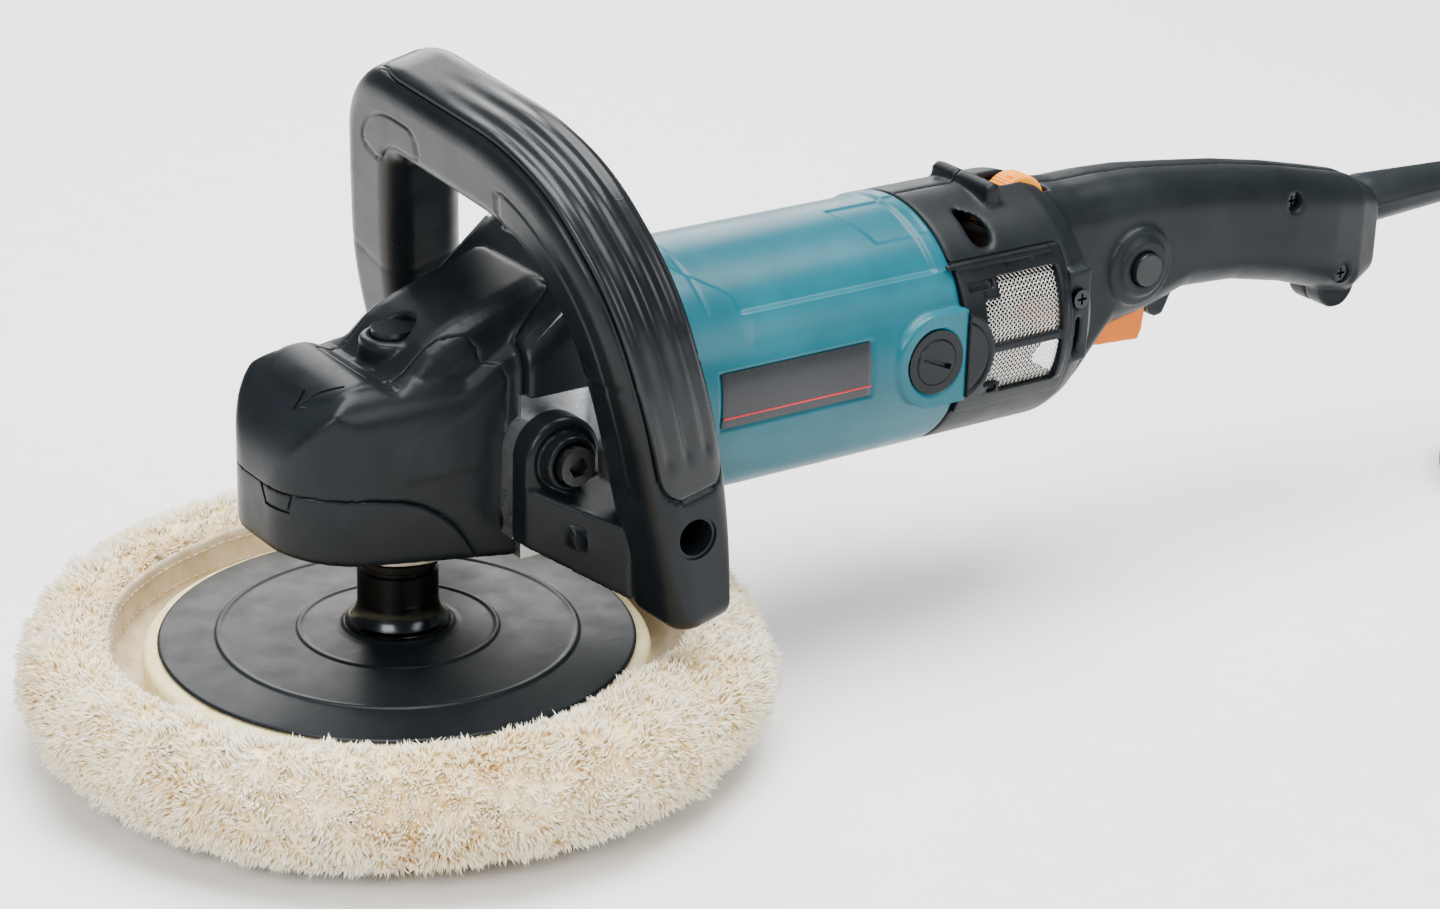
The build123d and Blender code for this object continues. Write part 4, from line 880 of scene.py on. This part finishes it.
class Bar:
    """The loop's bar: where a place on its skin is, from its run along the path and round it."""

    def __init__(self, step=1.6):
        self.path = loop_path(step)
        run = np.linalg.norm(np.diff(self.path, axis=0), axis=1)
        self.reach = np.concatenate([[0], np.cumsum(run)])
        tangent = np.gradient(self.path, axis=0)
        self.tangent = tangent / np.linalg.norm(tangent, axis=1)[:, None]
        self.length = self.reach[-1]

    def at(self, t):
        y = np.interp(t, self.reach, self.path[:, 0])
        v = np.interp(t, self.reach, self.path[:, 1])
        ty = np.interp(t, self.reach, self.tangent[:, 0])
        tv = np.interp(t, self.reach, self.tangent[:, 1])
        size = math.hypot(ty, tv)
        return y, v, tv / size, -ty / size

    def section(self, s, inset=0.0, squeeze=0.0):
        """Front and outward offsets at a distance s round the bar from the middle of its outside."""
        d, w, r = LOOP_HALF_DEPTH - inset, LOOP_HALF_THICK - inset, LOOP_ROUND - inset
        quarter = math.pi / 2 * r
        runs = [d - r, quarter, 2 * (w - r), quarter, d - r]
        side = 1 if s >= 0 else -1
        s = min(abs(s) * (sum(runs) / self.around(0)), sum(runs))
        front, out = 0.0, 0.0
        nf, no = 0.0, 1.0
        if s <= runs[0]:
            front, out = s, w
        elif s <= runs[0] + quarter:
            a = (s - runs[0]) / r
            front, out, nf, no = d - r + r * math.sin(a), w - r + r * math.cos(a), math.sin(a), math.cos(a)
        elif s <= sum(runs[:3]):
            front, out, nf, no = d, w - r - (s - runs[0] - quarter), 1.0, 0.0
        elif s <= sum(runs[:4]):
            a = (s - sum(runs[:3])) / r
            front, out, nf, no = d - r + r * math.cos(a), -w + r - r * math.sin(a), math.cos(a), -math.sin(a)
        else:
            front, out, nf, no = sum(runs) - s, -w, 0.0, -1.0
        return side * front, out, side * nf, no

    def around(self, inset):
        d, w, r = LOOP_HALF_DEPTH - inset, LOOP_HALF_THICK - inset, LOOP_ROUND - inset
        return 2 * (d - r) + math.pi * r + 2 * (w - r)

    def point(self, s, t, lift=0.0, inset=0.0):
        y, v, oy, ov = self.at(t)
        front, out, nf, no = self.section(s, inset)
        front += nf * lift
        out += no * lift
        yy, vv = y + oy * out, v + ov * out
        place = LOOP_ORIGIN + np.array([0, yy, 0]) + LOOP_UP * vv + LOOP_FRONT * front
        if place[0] > LEG_REAR - 6:
            over = (place[0] - LEG_REAR) / 1.6
            place[0] = LEG_REAR - 1.6 * math.log1p(math.exp(-over))
        return place


def grip_edge(bar, s, t):
    """Distance outside the grip's long round-ended outline; negative is on the grip."""
    start, end = grip_runs(bar)
    ds = max(0.0, abs(s + 1.0) - (GRIP_HALF - GRIP_ROUND))
    dt = max(0.0, start + GRIP_ROUND - t, t - (end - GRIP_ROUND))
    return math.hypot(ds, dt) - GRIP_ROUND


def grip_runs(bar):
    """Where the grip starts and ends along the bar, which runs from the right foot."""
    start = float(np.interp(-GRIP_END_Y, -bar.path[:, 0], bar.reach))
    return start, bar.length - GRIP_FOOT - 27.0


def panel_edge(s, t):
    """Distance outside the nearest outlined panel on the front face."""
    away = []
    for start, end in FRONT_PANELS:
        dt = max(0.0, start + 4.5 - t, t - (end - 4.5))
        away.append(math.hypot(max(0.0, abs(s - 31.0) - 1.5), dt) - 4.5)
    return min(away)


def loop_skin(bar, s, t):
    """Raised or sunk detail of the black bar: seat of the grip, panel outlines, foot step."""
    lift = 0.0
    away = grip_edge(bar, s, t)
    lift -= 1.7 * float(smoothstep(0.35, -0.35, away))
    lift -= 0.35 * math.exp(-((away - 0.9) / 0.5) ** 2)
    lift -= 0.6 * math.exp(-(panel_edge(s, t) / 0.55) ** 2)
    v = bar.at(t)[1]
    return lift - 0.4 * math.exp(-((v - LEG_TOP) / 0.7) ** 2)


def make_loop():
    bar = Bar()
    half_round = bar.around(0)
    count = 250
    places = np.linspace(-half_round, half_round, count, endpoint=False)
    edge = 6.0
    ends = [edge * (1 - math.cos(a)) for a in np.linspace(0.35, math.pi / 2, 7)]
    runs = sorted(set(ends + list(np.arange(edge + 0.8, bar.length - edge - 0.8, 1.5))
                      + [bar.length - e for e in ends]))
    rows = np.zeros((len(runs), count, 3))
    for i, t in enumerate(runs):
        near = min(t, bar.length - t)
        inset = 0.0
        if near < edge:
            inset = edge - math.sqrt(max(0.0, edge ** 2 - (edge - near) ** 2))
        for j, s in enumerate(places):
            rows[i, j] = bar.point(s, t, loop_skin(bar, s, t) - inset)
    loop = grid("loop", rows)
    for side in (-1, 1):
        hole = rod("Y", (54, 89), 6.0, min(side * 75, side * 100), max(side * 75, side * 100), 72)
        mouth = rod("Y", (54, 89), 7.2, min(side * 90.2, side * 100), max(side * 90.2, side * 100), 72)
        boolean(hole, mouth, "UNION")
        boolean(loop, hole, "DIFFERENCE")
    cut = LOOP_ORIGIN + LOOP_UP * LEG_TOP
    near, far = cut + LOOP_FRONT * 60, cut - LOOP_FRONT * 60
    below = prism("Y", [(near[0], near[2]), (far[0], far[2]), (far[0], 20), (near[0], 20)], -120, 120)
    legs = boolean(copied(loop), below, "INTERSECT", keep_tool=True)
    boolean(loop, below, "DIFFERENCE")
    dress(loop, "loop_arch", BLACK, "root", "black_moulding", "loop_handle", angle=50)
    dress(legs, "loop_leg_pair", BLACK, "root", "black_moulding", "loop_legs", angle=50)
    return bar


def make_grip(bar):
    """Soft grip over the outside of the loop, with three flutes along it."""
    across = 60
    start, end = grip_runs(bar)
    total = end - start
    near_ends = [GRIP_ROUND * (1 - math.cos(a)) for a in np.linspace(0.12, math.pi / 2, 14)]
    middle = list(np.arange(GRIP_ROUND + 1.5, total - GRIP_ROUND - 1.5, 1.5))
    runs = near_ends + middle + [total - e for e in reversed(near_ends)]
    rows = []
    for run in runs:
        near = min(run, total - run)
        half = GRIP_HALF - GRIP_ROUND
        half += math.sqrt(max(0.0, GRIP_ROUND ** 2 - max(0.0, GRIP_ROUND - near) ** 2))
        fade = float(smoothstep(16, 75, run) * smoothstep(9, 17, total - run))
        top, bottom = [], []
        for k in range(across + 1):
            part = -1 + 2 * k / across
            s = part * (half - 0.3) - 1.0
            lift = 0.25 - 0.9 * float(smoothstep(0.90, 1.0, abs(part)))
            lift -= 0.9 * float(smoothstep(1.6, 0.0, near))
            for middle_s in (-7.6, -0.6, 6.4):
                t = (s - middle_s) / 3.3
                if abs(t) < 1:
                    lift -= 1.15 * fade * math.cos(t * math.pi / 2) ** 2
            top.append(bar.point(s, run + start, lift))
            bottom.append(bar.point(s, run + start, -1.65))
        rows.append(top + bottom[::-1])
    piece = grid("grip", np.array(rows))
    dress(piece, "loop_grip", GRIP, "root", "black_grip", "handle_grip", angle=40)


# ------------------------------------------------------------- softened copies
def soften(node, name, voxel, rounds, material, body, slot, angle=None):
    """CAD piece with its edges rounded off as moulded or cast edges are."""
    piece = copy_of(node)
    remeshed(piece, voxel, rounds)
    return dress(piece, name, material, body, slot, node, angle=angle)


def make_arms():
    """Arms of the loop: plate with raised rims, a round boss for the bolt, ribs on the strut."""
    piece = copy_of("handle_arms")
    for side in (-1, 1):
        def y(a, b):
            return (min(side * a, side * b), max(side * a, side * b))
        ring = rod("Y", (33.5, 104), 12.2, *y(45.5, 46.9), 96)
        boolean(ring, rod("Y", (33.5, 104), 10.6, *y(44, 49), 96), "DIFFERENCE")
        boolean(piece, ring, "UNION")
        rib = prism("X", [(side * 46, 90), (side * 46, 82), (side * 62, 78.5), (side * 60, 84)], 29, 33)
        boolean(piece, rib, "UNION")
        boolean(piece, box_mm(38, 43, *y(45.2, 48.2), 89.0, 94.5), "UNION")
    remeshed(piece, 0.6, 14)
    dress(piece, "loop_arms", BLACK, "root", "black_moulding", "handle_arms")


def make_lock_spring():
    """Return spring under the spindle lock's cap, copied onto a mesh of its own."""
    spring = copy_of("shaft_lock_spring")
    dress(spring, "lock_spring", STEEL, "root", "steel", "shaft_lock_spring", angle=40)
    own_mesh(spring)


make_head_covers()
make_lock_spring()
make_grip(make_loop())
make_arms()

# ---------------------------------------------------------------- motor housing
MOTOR_Z = 107.0
MOTOR_R = 44.3
BRUSH_X = 181.5
HOUSING_X = (62.0, 194.4)


def housing_height(x, angle):
    """Radius of the housing's skin: panel, bosses, recesses. The angle is from the left side up."""
    y, z = -MOTOR_R * math.cos(angle), MOTOR_R * math.sin(angle)
    side = abs(y)
    r = MOTOR_R
    level = z + MOTOR_Z
    # top panel with a curved front end, set in behind the front band
    front = 90 + 17 * float(smoothstep(150.5, 138, level))
    panel = smoothstep(134.2, 135.6, level) * smoothstep(front, front + 1.6, x) * smoothstep(188.4, 187.0, x)
    r -= 0.95 * float(panel)
    # flat facet below the panel
    facet = float(smoothstep(135.5, 133.8, level) * smoothstep(123.5, 131.5, level))
    r += 0.45 * facet * float(smoothstep(107, 111, x))
    # small rectangular field on the panel
    if y > -26 and z > 0:
        field = smoothstep(165.5, 166.5, x + 0.32 * y + 2) * smoothstep(193.4, 192.4, x)
        field *= smoothstep(-23.6, -22.8, y) * smoothstep(-1.6, -2.4, y)
        r -= 0.45 * float(field)
    # rim at each end
    r -= 0.8 * float(smoothstep(HOUSING_X[0] + 1.2, HOUSING_X[0], x) + smoothstep(HOUSING_X[1] - 1.2, HOUSING_X[1], x))
    r -= 0.35 * math.exp(-((x - 96) / 0.6) ** 2) * (1 if level > 136 else 0)
    # round bosses of the brushes, carried back to the rear edge
    away = math.hypot(min(0.0, x - BRUSH_X), z) if x < BRUSH_X else abs(z)
    if side > 20:
        flat = 45.4 / max(0.2, math.cos(angle) if y < 0 else -math.cos(angle))
        boss = float(smoothstep(16.6, 15.0, away))
        r = r + (max(r, flat) - r) * boss
        round_off = math.hypot(x - BRUSH_X, z)
        r -= 1.1 * float(smoothstep(11.6, 11.0, round_off))
        plate = smoothstep(94.2, 95, x) * smoothstep(156.8, 156, x)
        plate *= smoothstep(98.7, 99.3, level) * smoothstep(119.3, 118.7, level)
        r -= 0.9 * float(plate)
    return r


def make_housing():
    """Teal housing: a worked skin outside, with the CAD's posts and rear wall inside it."""
    columns = spaced([(HOUSING_X[0], 0), (HOUSING_X[1], 0)], 0.75)[:, 0]
    around = 384
    rows = np.zeros((around, len(columns) + 2, 3))
    for i in range(around):
        angle = 2 * math.pi * i / around
        for j, x in enumerate(columns):
            r = housing_height(x, angle)
            rows[i, j] = (x, -r * math.cos(angle), MOTOR_Z + r * math.sin(angle))
        for j, x in ((len(columns), HOUSING_X[1]), (len(columns) + 1, HOUSING_X[0])):
            r = MOTOR_R - 3.2
            rows[i, j] = (x, -r * math.cos(angle), MOTOR_Z + r * math.sin(angle))
    skin = grid("housing", rows, close_across=True, close_along=True)
    inside = copy_of("motor_housing")
    boolean(inside, rod("X", (0, MOTOR_Z), 41.6, 55, 210, 128), "INTERSECT")
    boolean(skin, inside, "UNION")
    for side in (-1, 1):
        low, high = min(side * 38, side * 50), max(side * 38, side * 50)
        boolean(skin, rod("Y", (BRUSH_X, MOTOR_Z), 9.4, low, high, 96), "DIFFERENCE")
    dress(skin, "housing_shell", TEAL, "root", "teal_housing", "motor_housing", angle=40)


def make_side_plates():
    """Blank dark plates with a thin red line, let into the housing's sides."""
    pieces, lines = [], []
    for side in (-1, 1):
        rows, line_rows = [], []
        for x in np.linspace(95.6, 155.4, 60):
            top, line = [], []
            for angle in np.linspace(math.radians(-9.3), math.radians(15.0), 34):
                end = smoothstep(95.6, 96.6, x) * smoothstep(155.4, 154.4, x)
                r = MOTOR_R - 0.45 + 0.35 * float(end)
                top.append((x, side * r * math.cos(angle), MOTOR_Z + r * math.sin(angle)))
            under = [(x, side * (MOTOR_R - 1.0) * math.cos(a), MOTOR_Z + (MOTOR_R - 1.0) * math.sin(a))
                     for a in np.linspace(math.radians(15.0), math.radians(-9.3), 34)]
            rows.append(top + under)
            for r in (MOTOR_R + 0.02, MOTOR_R - 0.3):
                spread = (0, 0.55) if r > MOTOR_R else (0.55, 0)
                for extra in spread:
                    a = math.radians(-5.2) + extra / MOTOR_R
                    line.append((x, side * r * math.cos(a), MOTOR_Z + r * math.sin(a)))
            line_rows.append(line)
        pieces.append(grid("plate", np.array(rows)))
        lines.append(grid("line", np.array(line_rows)))
    plate = joined(pieces)
    dress(plate, "name_plates", PLATE, "root", "side_plate", "side_plates", angle=40)
    stripe = joined(lines)
    dress(stripe, "red_lines", RED, "root", "side_plate")


def make_brush_caps():
    """Slotted caps, each in its own ring."""
    pieces = []
    for side in (-1, 1):
        outline = [(0.01, 38.6), (8.0, 38.6), (8.0, 45.6), (7.6, 46.05), (0.01, 46.2)]
        cap = lathe("cap", outline, 96)
        ring = lathe("ring", [(8.5, 42.6), (11.0, 42.6), (11.0, 44.9), (10.6, 45.3), (8.9, 45.3), (8.5, 44.9)], 96)
        boolean(cap, box_mm(-6.3, 6.3, -0.95, 0.95, 44.4, 50), "DIFFERENCE")
        both = joined([cap, ring])
        turn = Matrix.Rotation(math.radians(90 if side < 0 else -90), 4, "X")
        tilt = Matrix.Rotation(math.radians(24), 4, "Y")
        both.data.transform(Matrix.Translation(Vector((BRUSH_X, 0, MOTOR_Z)) * MM) @ tilt @ turn)
        pieces.append(both)
    dress(joined(pieces), "brush_cap_pair", BLACK, "root", "black_moulding", "brush_caps", angle=35)


# ------------------------------------------------------------------ rear shells
def make_rear_shells():
    for node, name in (("rear_cover_left", "rear_half_left"), ("rear_cover_right", "rear_half_right")):
        piece = copy_of(node)
        side = -1 if node.endswith("left") else 1
        low, high = min(side * 15, side * 60), max(side * 15, side * 60)
        # teardrop opening above the filter and a slot beside the side screw
        tear = rod("Y", (212.0, 142.0), 4.6, low, high, 48)
        boolean(tear, prism("Y", [(207.5, 141.0), (207.9, 148.2), (214.2, 145.9)], low, high), "UNION")
        slot = box_mm(243.6, 246.2, min(side * 40.6, side * 60), max(side * 40.6, side * 60), 96.0, 110.5)
        boolean(piece, tear, "DIFFERENCE")
        boolean(piece, slot, "DIFFERENCE")
        remeshed(piece, 0.68, 20)
        dress(piece, name, REAR, "root", "black_moulding", node)


def wire(points, radius, sides=5):
    """Round wire through points (mm)."""
    points = np.array(points, float)
    tangent = np.gradient(points, axis=0)
    tangent /= np.linalg.norm(tangent, axis=1)[:, None]
    across = np.cross(tangent, np.array([1.0, 0.31, 0.2]))
    across /= np.linalg.norm(across, axis=1)[:, None]
    other = np.cross(tangent, across)
    rings = [points + radius * (across * math.cos(a) + other * math.sin(a))
             for a in np.linspace(0, 2 * math.pi, sides, endpoint=False)]
    return np.stack(rings, axis=1)


def make_filter_screens():
    """Woven wire behind each side window, laid on the bias."""
    x0, x1, z0, z1 = 203.2, 238.8, 88.6, 131.4
    pitch, radius = 1.8, 0.19
    points, faces = [], []
    for side in (-1, 1):
        for lean in (1, -1):
            reach = (x1 - x0) + (z1 - z0)
            for k in range(int(reach / pitch) + 1):
                offset = k * pitch - (z1 - z0) if lean > 0 else k * pitch
                line = []
                for step in np.arange(0, z1 - z0 + 0.01, pitch / 4):
                    z = z0 + step
                    x = x0 + offset + (step if lean > 0 else -step)
                    if x0 <= x <= x1:
                        weave = 0.20 * lean * math.cos(math.pi * (2 * step - z1 + z0) / pitch)
                        r = MOTOR_R - 1.3 + weave
                        height = z - MOTOR_Z
                        y = side * math.sqrt(r * r - height * height)
                        line.append((x, y, z))
                if len(line) < 3:
                    continue
                rings = wire(line, radius, 4)
                start = len(points)
                points.extend(rings.reshape(-1, 3))
                n = 4
                for i in range(len(line) - 1):
                    for j in range(n):
                        a, b = start + i * n + j, start + i * n + (j + 1) % n
                        faces.append((a, b, b + n, a + n))
                faces.append(tuple(start + j for j in range(n)))
                faces.append(tuple(start + (len(line) - 1) * n + j for j in range(n)))
    piece = from_mm("screen", points, faces)
    dress(piece, "wire_screens", MESH_STEEL, "root", "steel_mesh", "filter_screens", angle=60)


def ring_sector(side, inner, outer, x0, x1, z0, z1):
    """Part of a tube round the motor's axis, in front of one side window."""
    tube = rod("X", (0, MOTOR_Z), outer, x0, x1, 180)
    boolean(tube, rod("X", (0, MOTOR_Z), inner, x0 - 1, x1 + 1, 180), "DIFFERENCE")
    return boolean(tube, box_mm(x0, x1, min(0, side * 60), max(0, side * 60), z0, z1), "INTERSECT")


def make_filter_frames():
    """Frames of the side windows: a lip on top, filled corners with slots, a bar across."""
    piece = copy_of("filter_frames")
    for side in (-1, 1):
        low, high = min(side * 30, side * 50), max(side * 30, side * 50)
        added = [
            (MOTOR_R + 1.2, MOTOR_R + 2.6, 191.0, 236.0, 134.9, 136.4),
            (MOTOR_R - 2.0, MOTOR_R + 1.2, 203.0, 210.6, 123.5, 131.5),
            (MOTOR_R - 2.0, MOTOR_R + 1.2, 203.0, 212.0, 88.5, 93.2),
            (MOTOR_R - 0.8, MOTOR_R + 1.9, 236.2, 238.6, 90.0, 130.0),
        ]
        for sizes in added:
            boolean(piece, ring_sector(side, *sizes), "UNION")
        for x, z, w, h in ((198.5, 128.6, 10.0, 3.0), (206.6, 91.4, 4.0, 2.6), (216.0, 133.4, 12.0, 0.9)):
            cut = box_mm(x, x + w, low, high, z - h / 2, z + h / 2)
            boolean(cut, rod("X", (0, MOTOR_Z), MOTOR_R - 0.4, 180, 250, 180), "DIFFERENCE")
            boolean(piece, cut, "DIFFERENCE")
    remeshed(piece, 0.42, 3)
    dress(piece, "window_frames", BLACK, "root", "black_moulding", "filter_frames")


def make_latches():
    """Half-round latches in front of the windows, each with a groove along its curve."""
    piece = copy_of("filter_clips")
    for side in (-1, 1):
        low, high = min(side * 46.0, side * 50), max(side * 46.0, side * 50)
        groove = rod("Y", (190, 106.7), 13.9, low, high, 96)
        boolean(groove, rod("Y", (190, 106.7), 12.9, low - 1, high + 1, 96), "DIFFERENCE")
        boolean(piece, groove, "DIFFERENCE")
    remeshed(piece, 0.32, 3)
    dress(piece, "window_latches", BLACK, "root", "black_moulding", "filter_clips")


def make_cord_guard():
    """Strain relief, tapering to the cord, with a moulding line along each side."""
    outline = [(4.1, 402.2), (9.4, 402.2), (9.6, 419.6), (9.9, 420.6), (9.7, 424)]
    outline += [(9.7 - 0.047 * run, 424 + run) for run in range(4, 45, 4)]
    outline += [(7.2, 470.5), (5.6, 472.5), (4.1, 472.8)]
    piece = lathe("guard", outline, 96)
    turn = Matrix.Translation(Vector((0, 0, 112)) * MM) @ Matrix.Rotation(math.radians(90), 4, "Y")
    piece.data.transform(turn)
    for vertex in piece.data.vertices:
        away = abs(vertex.co.z - 0.112)
        if away < 0.0006 and vertex.co.x < 0.4705:
            vertex.co.y *= 1.035
    dress(piece, "cord_sleeve", CORD_SKIN, "root", "cord_rubber", "cord_guard", angle=35)


def make_dial():
    """Thumb wheel with fine grip grooves in its rim and tick marks on it."""
    rows = []
    sides = 480
    profile = [(2.2, -8), (9.4, -8), (10.3, -7.7), (10.75, -6.9), (10.8, -5), (10.8, -1), (10.75, 0.9),
               (10.3, 1.7), (9.4, 2), (2.2, 2)]
    for i in range(sides):
        a = 2 * math.pi * i / sides
        groove = 0.4 * max(0.0, math.cos(a * 48)) ** 2
        row = [((r - groove * (r > 10.2)) * math.cos(a), y, (r - groove * (r > 10.2)) * math.sin(a))
               for r, y in profile]
        rows.append([(246 + x, y, 140.5 + z) for x, y, z in row])
    wheel = grid("dial", np.array(rows), close_across=True, close_along=True)
    for k in range(12):
        tool = box_mm(-0.28, 0.28, -6.4, -3.2 if k % 2 else -4.6, 10.2, 12)
        turn = Matrix.Translation(Vector((246, 0, 140.5)) * MM) @ Matrix.Rotation(math.radians(30 * k + 12), 4, "Y")
        tool.data.transform(turn)
        boolean(wheel, tool, "DIFFERENCE")
    dress(wheel, "thumb_wheel", AMBER, "dial_body", "signal_orange", "speed_dial", angle=40)


make_housing()
make_dial()
make_side_plates()
make_brush_caps()
make_rear_shells()
make_filter_screens()
make_filter_frames()
make_cord_guard()
soften("trigger", "trigger_lever", 0.5, 5, ORANGE, "trigger_body", "signal_orange")
soften("lock_button", "lock_on_button", 0.4, 5, GRIP, "lock_button_body", "black_moulding")
make_latches()


# -------------------------------------------------------------- cord and plug
CORD_D = 8.0
CORD_POINTS = [
    (475, 0, 112), (504, 0, 112), (530, 0, 95), (541, -8, 66), (544, -26, 43), (544, -50, 30),
    (544, -68, 28),
]
COIL_AT = (496.0, -56.0)
COIL_R = 44.0
COIL_LAYERS = 4
PLUG_Y = COIL_AT[1] - COIL_R - CORD_D / 2
PLUG_X = 462.0
STEPS_A_TURN = 16


def coil_points():
    """Neat coil, wound layer by layer from the top, two turns side by side in each layer."""
    points = []
    turn_steps = 2 * STEPS_A_TURN
    total = COIL_LAYERS * turn_steps + STEPS_A_TURN // 4 + 1
    for k in range(1, total):
        layer = min(COIL_LAYERS - 1, k // turn_steps)
        within = k / turn_steps - layer
        inward = layer % 2 == 0
        sweep = min(1.0, max(0.0, (within - 0.42) / 0.16))
        if k >= COIL_LAYERS * turn_steps:
            sweep = 1.0
        radius = COIL_R + CORD_D / 2 - CORD_D * (sweep if inward else 1 - sweep)
        drop_z = min(1.0, max(0.0, (within - 0.9) / 0.1)) if layer < COIL_LAYERS - 1 else 0.0
        z = (COIL_LAYERS - 0.5 - layer - drop_z) * CORD_D
        angle = -2 * math.pi * (k / STEPS_A_TURN)
        points.append((COIL_AT[0] + radius * math.cos(angle), COIL_AT[1] + radius * math.sin(angle), z))
    return points


def make_cord():
    tail = [(484, PLUG_Y, 4.4), (476, PLUG_Y, 5.2), (470, PLUG_Y, 6.2)]
    points = CORD_POINTS + coil_points() + tail
    curve = bpy.data.curves.new("cord", "CURVE")
    curve.dimensions = "3D"
    spline = curve.splines.new("NURBS")
    spline.points.add(len(points) - 1)
    for target, p in zip(spline.points, points):
        target.co = (p[0] * MM, p[1] * MM, p[2] * MM, 1)
    spline.order_u = 3
    spline.use_endpoint_u = True
    spline.resolution_u = 5
    curve.bevel_depth = CORD_D / 2 * MM
    curve.bevel_resolution = 4
    curve.use_fill_caps = True
    cord = bpy.data.objects.new("flex", curve)
    bpy.context.scene.collection.objects.link(cord)
    curve.materials.append(CORD_SKIN)
    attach(cord, "root")
    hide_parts("cord", "cord_coil")


make_cord()


# ------------------------------------------------------------- floor and light
def make_stage():
    floor_size = 6.0
    mesh = bpy.data.meshes.new("floor")
    s = floor_size
    mesh.from_pydata([(-s, -s, -0.0003), (s, -s, -0.0003), (s, s, -0.0003), (-s, s, -0.0003)], [], [(0, 1, 2, 3)])
    floor = link("floor", mesh)
    material, tree, shader = new_material("pale_floor")
    speck = noise_node(tree, 60.0)
    tree.links.new(
        ramp(tree, speck.outputs["Fac"], [(0.3, grey(0.92)), (0.7, grey(0.94))]), shader.inputs["Base Color"]
    )
    shader.inputs["Roughness"].default_value = 0.7
    mesh.materials.append(material)
    world = bpy.data.worlds.new("studio")
    world.use_nodes = True
    background = world.node_tree.nodes["Background"]
    background.inputs["Color"].default_value = (1, 1, 1, 1)
    background.inputs["Strength"].default_value = 0.24
    bpy.context.scene.world = world
    lights = [
        ("top", (0.25, 0.10, 1.9), 118.0, 1.7), ("key", (-1.4, -0.9, 1.2), 36.0, 0.9),
        ("fill", (0.9, -1.8, 1.2), 24.0, 1.0), ("back", (0.9, 1.7, 0.9), 26.0, 1.2),
    ]
    for name, place, power, size in lights:
        lamp = bpy.data.lights.new(name, "AREA")
        lamp.energy = power
        lamp.size = size
        item = bpy.data.objects.new(name, lamp)
        item.location = place
        aim = Vector((0.12, 0, 0.08)) - Vector(place)
        item.rotation_euler = aim.to_track_quat("-Z", "Y").to_euler()
        bpy.context.scene.collection.objects.link(item)


def make_camera():
    data = bpy.data.cameras.new("camera")
    data.sensor_width = 36.0
    data.lens = 86.05
    data.clip_start = 0.05
    camera = bpy.data.objects.new("camera", data)
    right = Vector((0.8225, -0.5681, 0.0277)).normalized()
    back = Vector((-0.5336, -0.7539, 0.3832)).normalized()
    up = back.cross(right).normalized()
    right = up.cross(back).normalized()
    rows = Matrix((right, up, back)).transposed().to_4x4()
    rows.translation = Vector((-0.4998, -0.8841, 0.5185))
    camera.matrix_world = rows
    bpy.context.scene.collection.objects.link(camera)
    bpy.context.scene.camera = camera


make_stage()
make_camera()
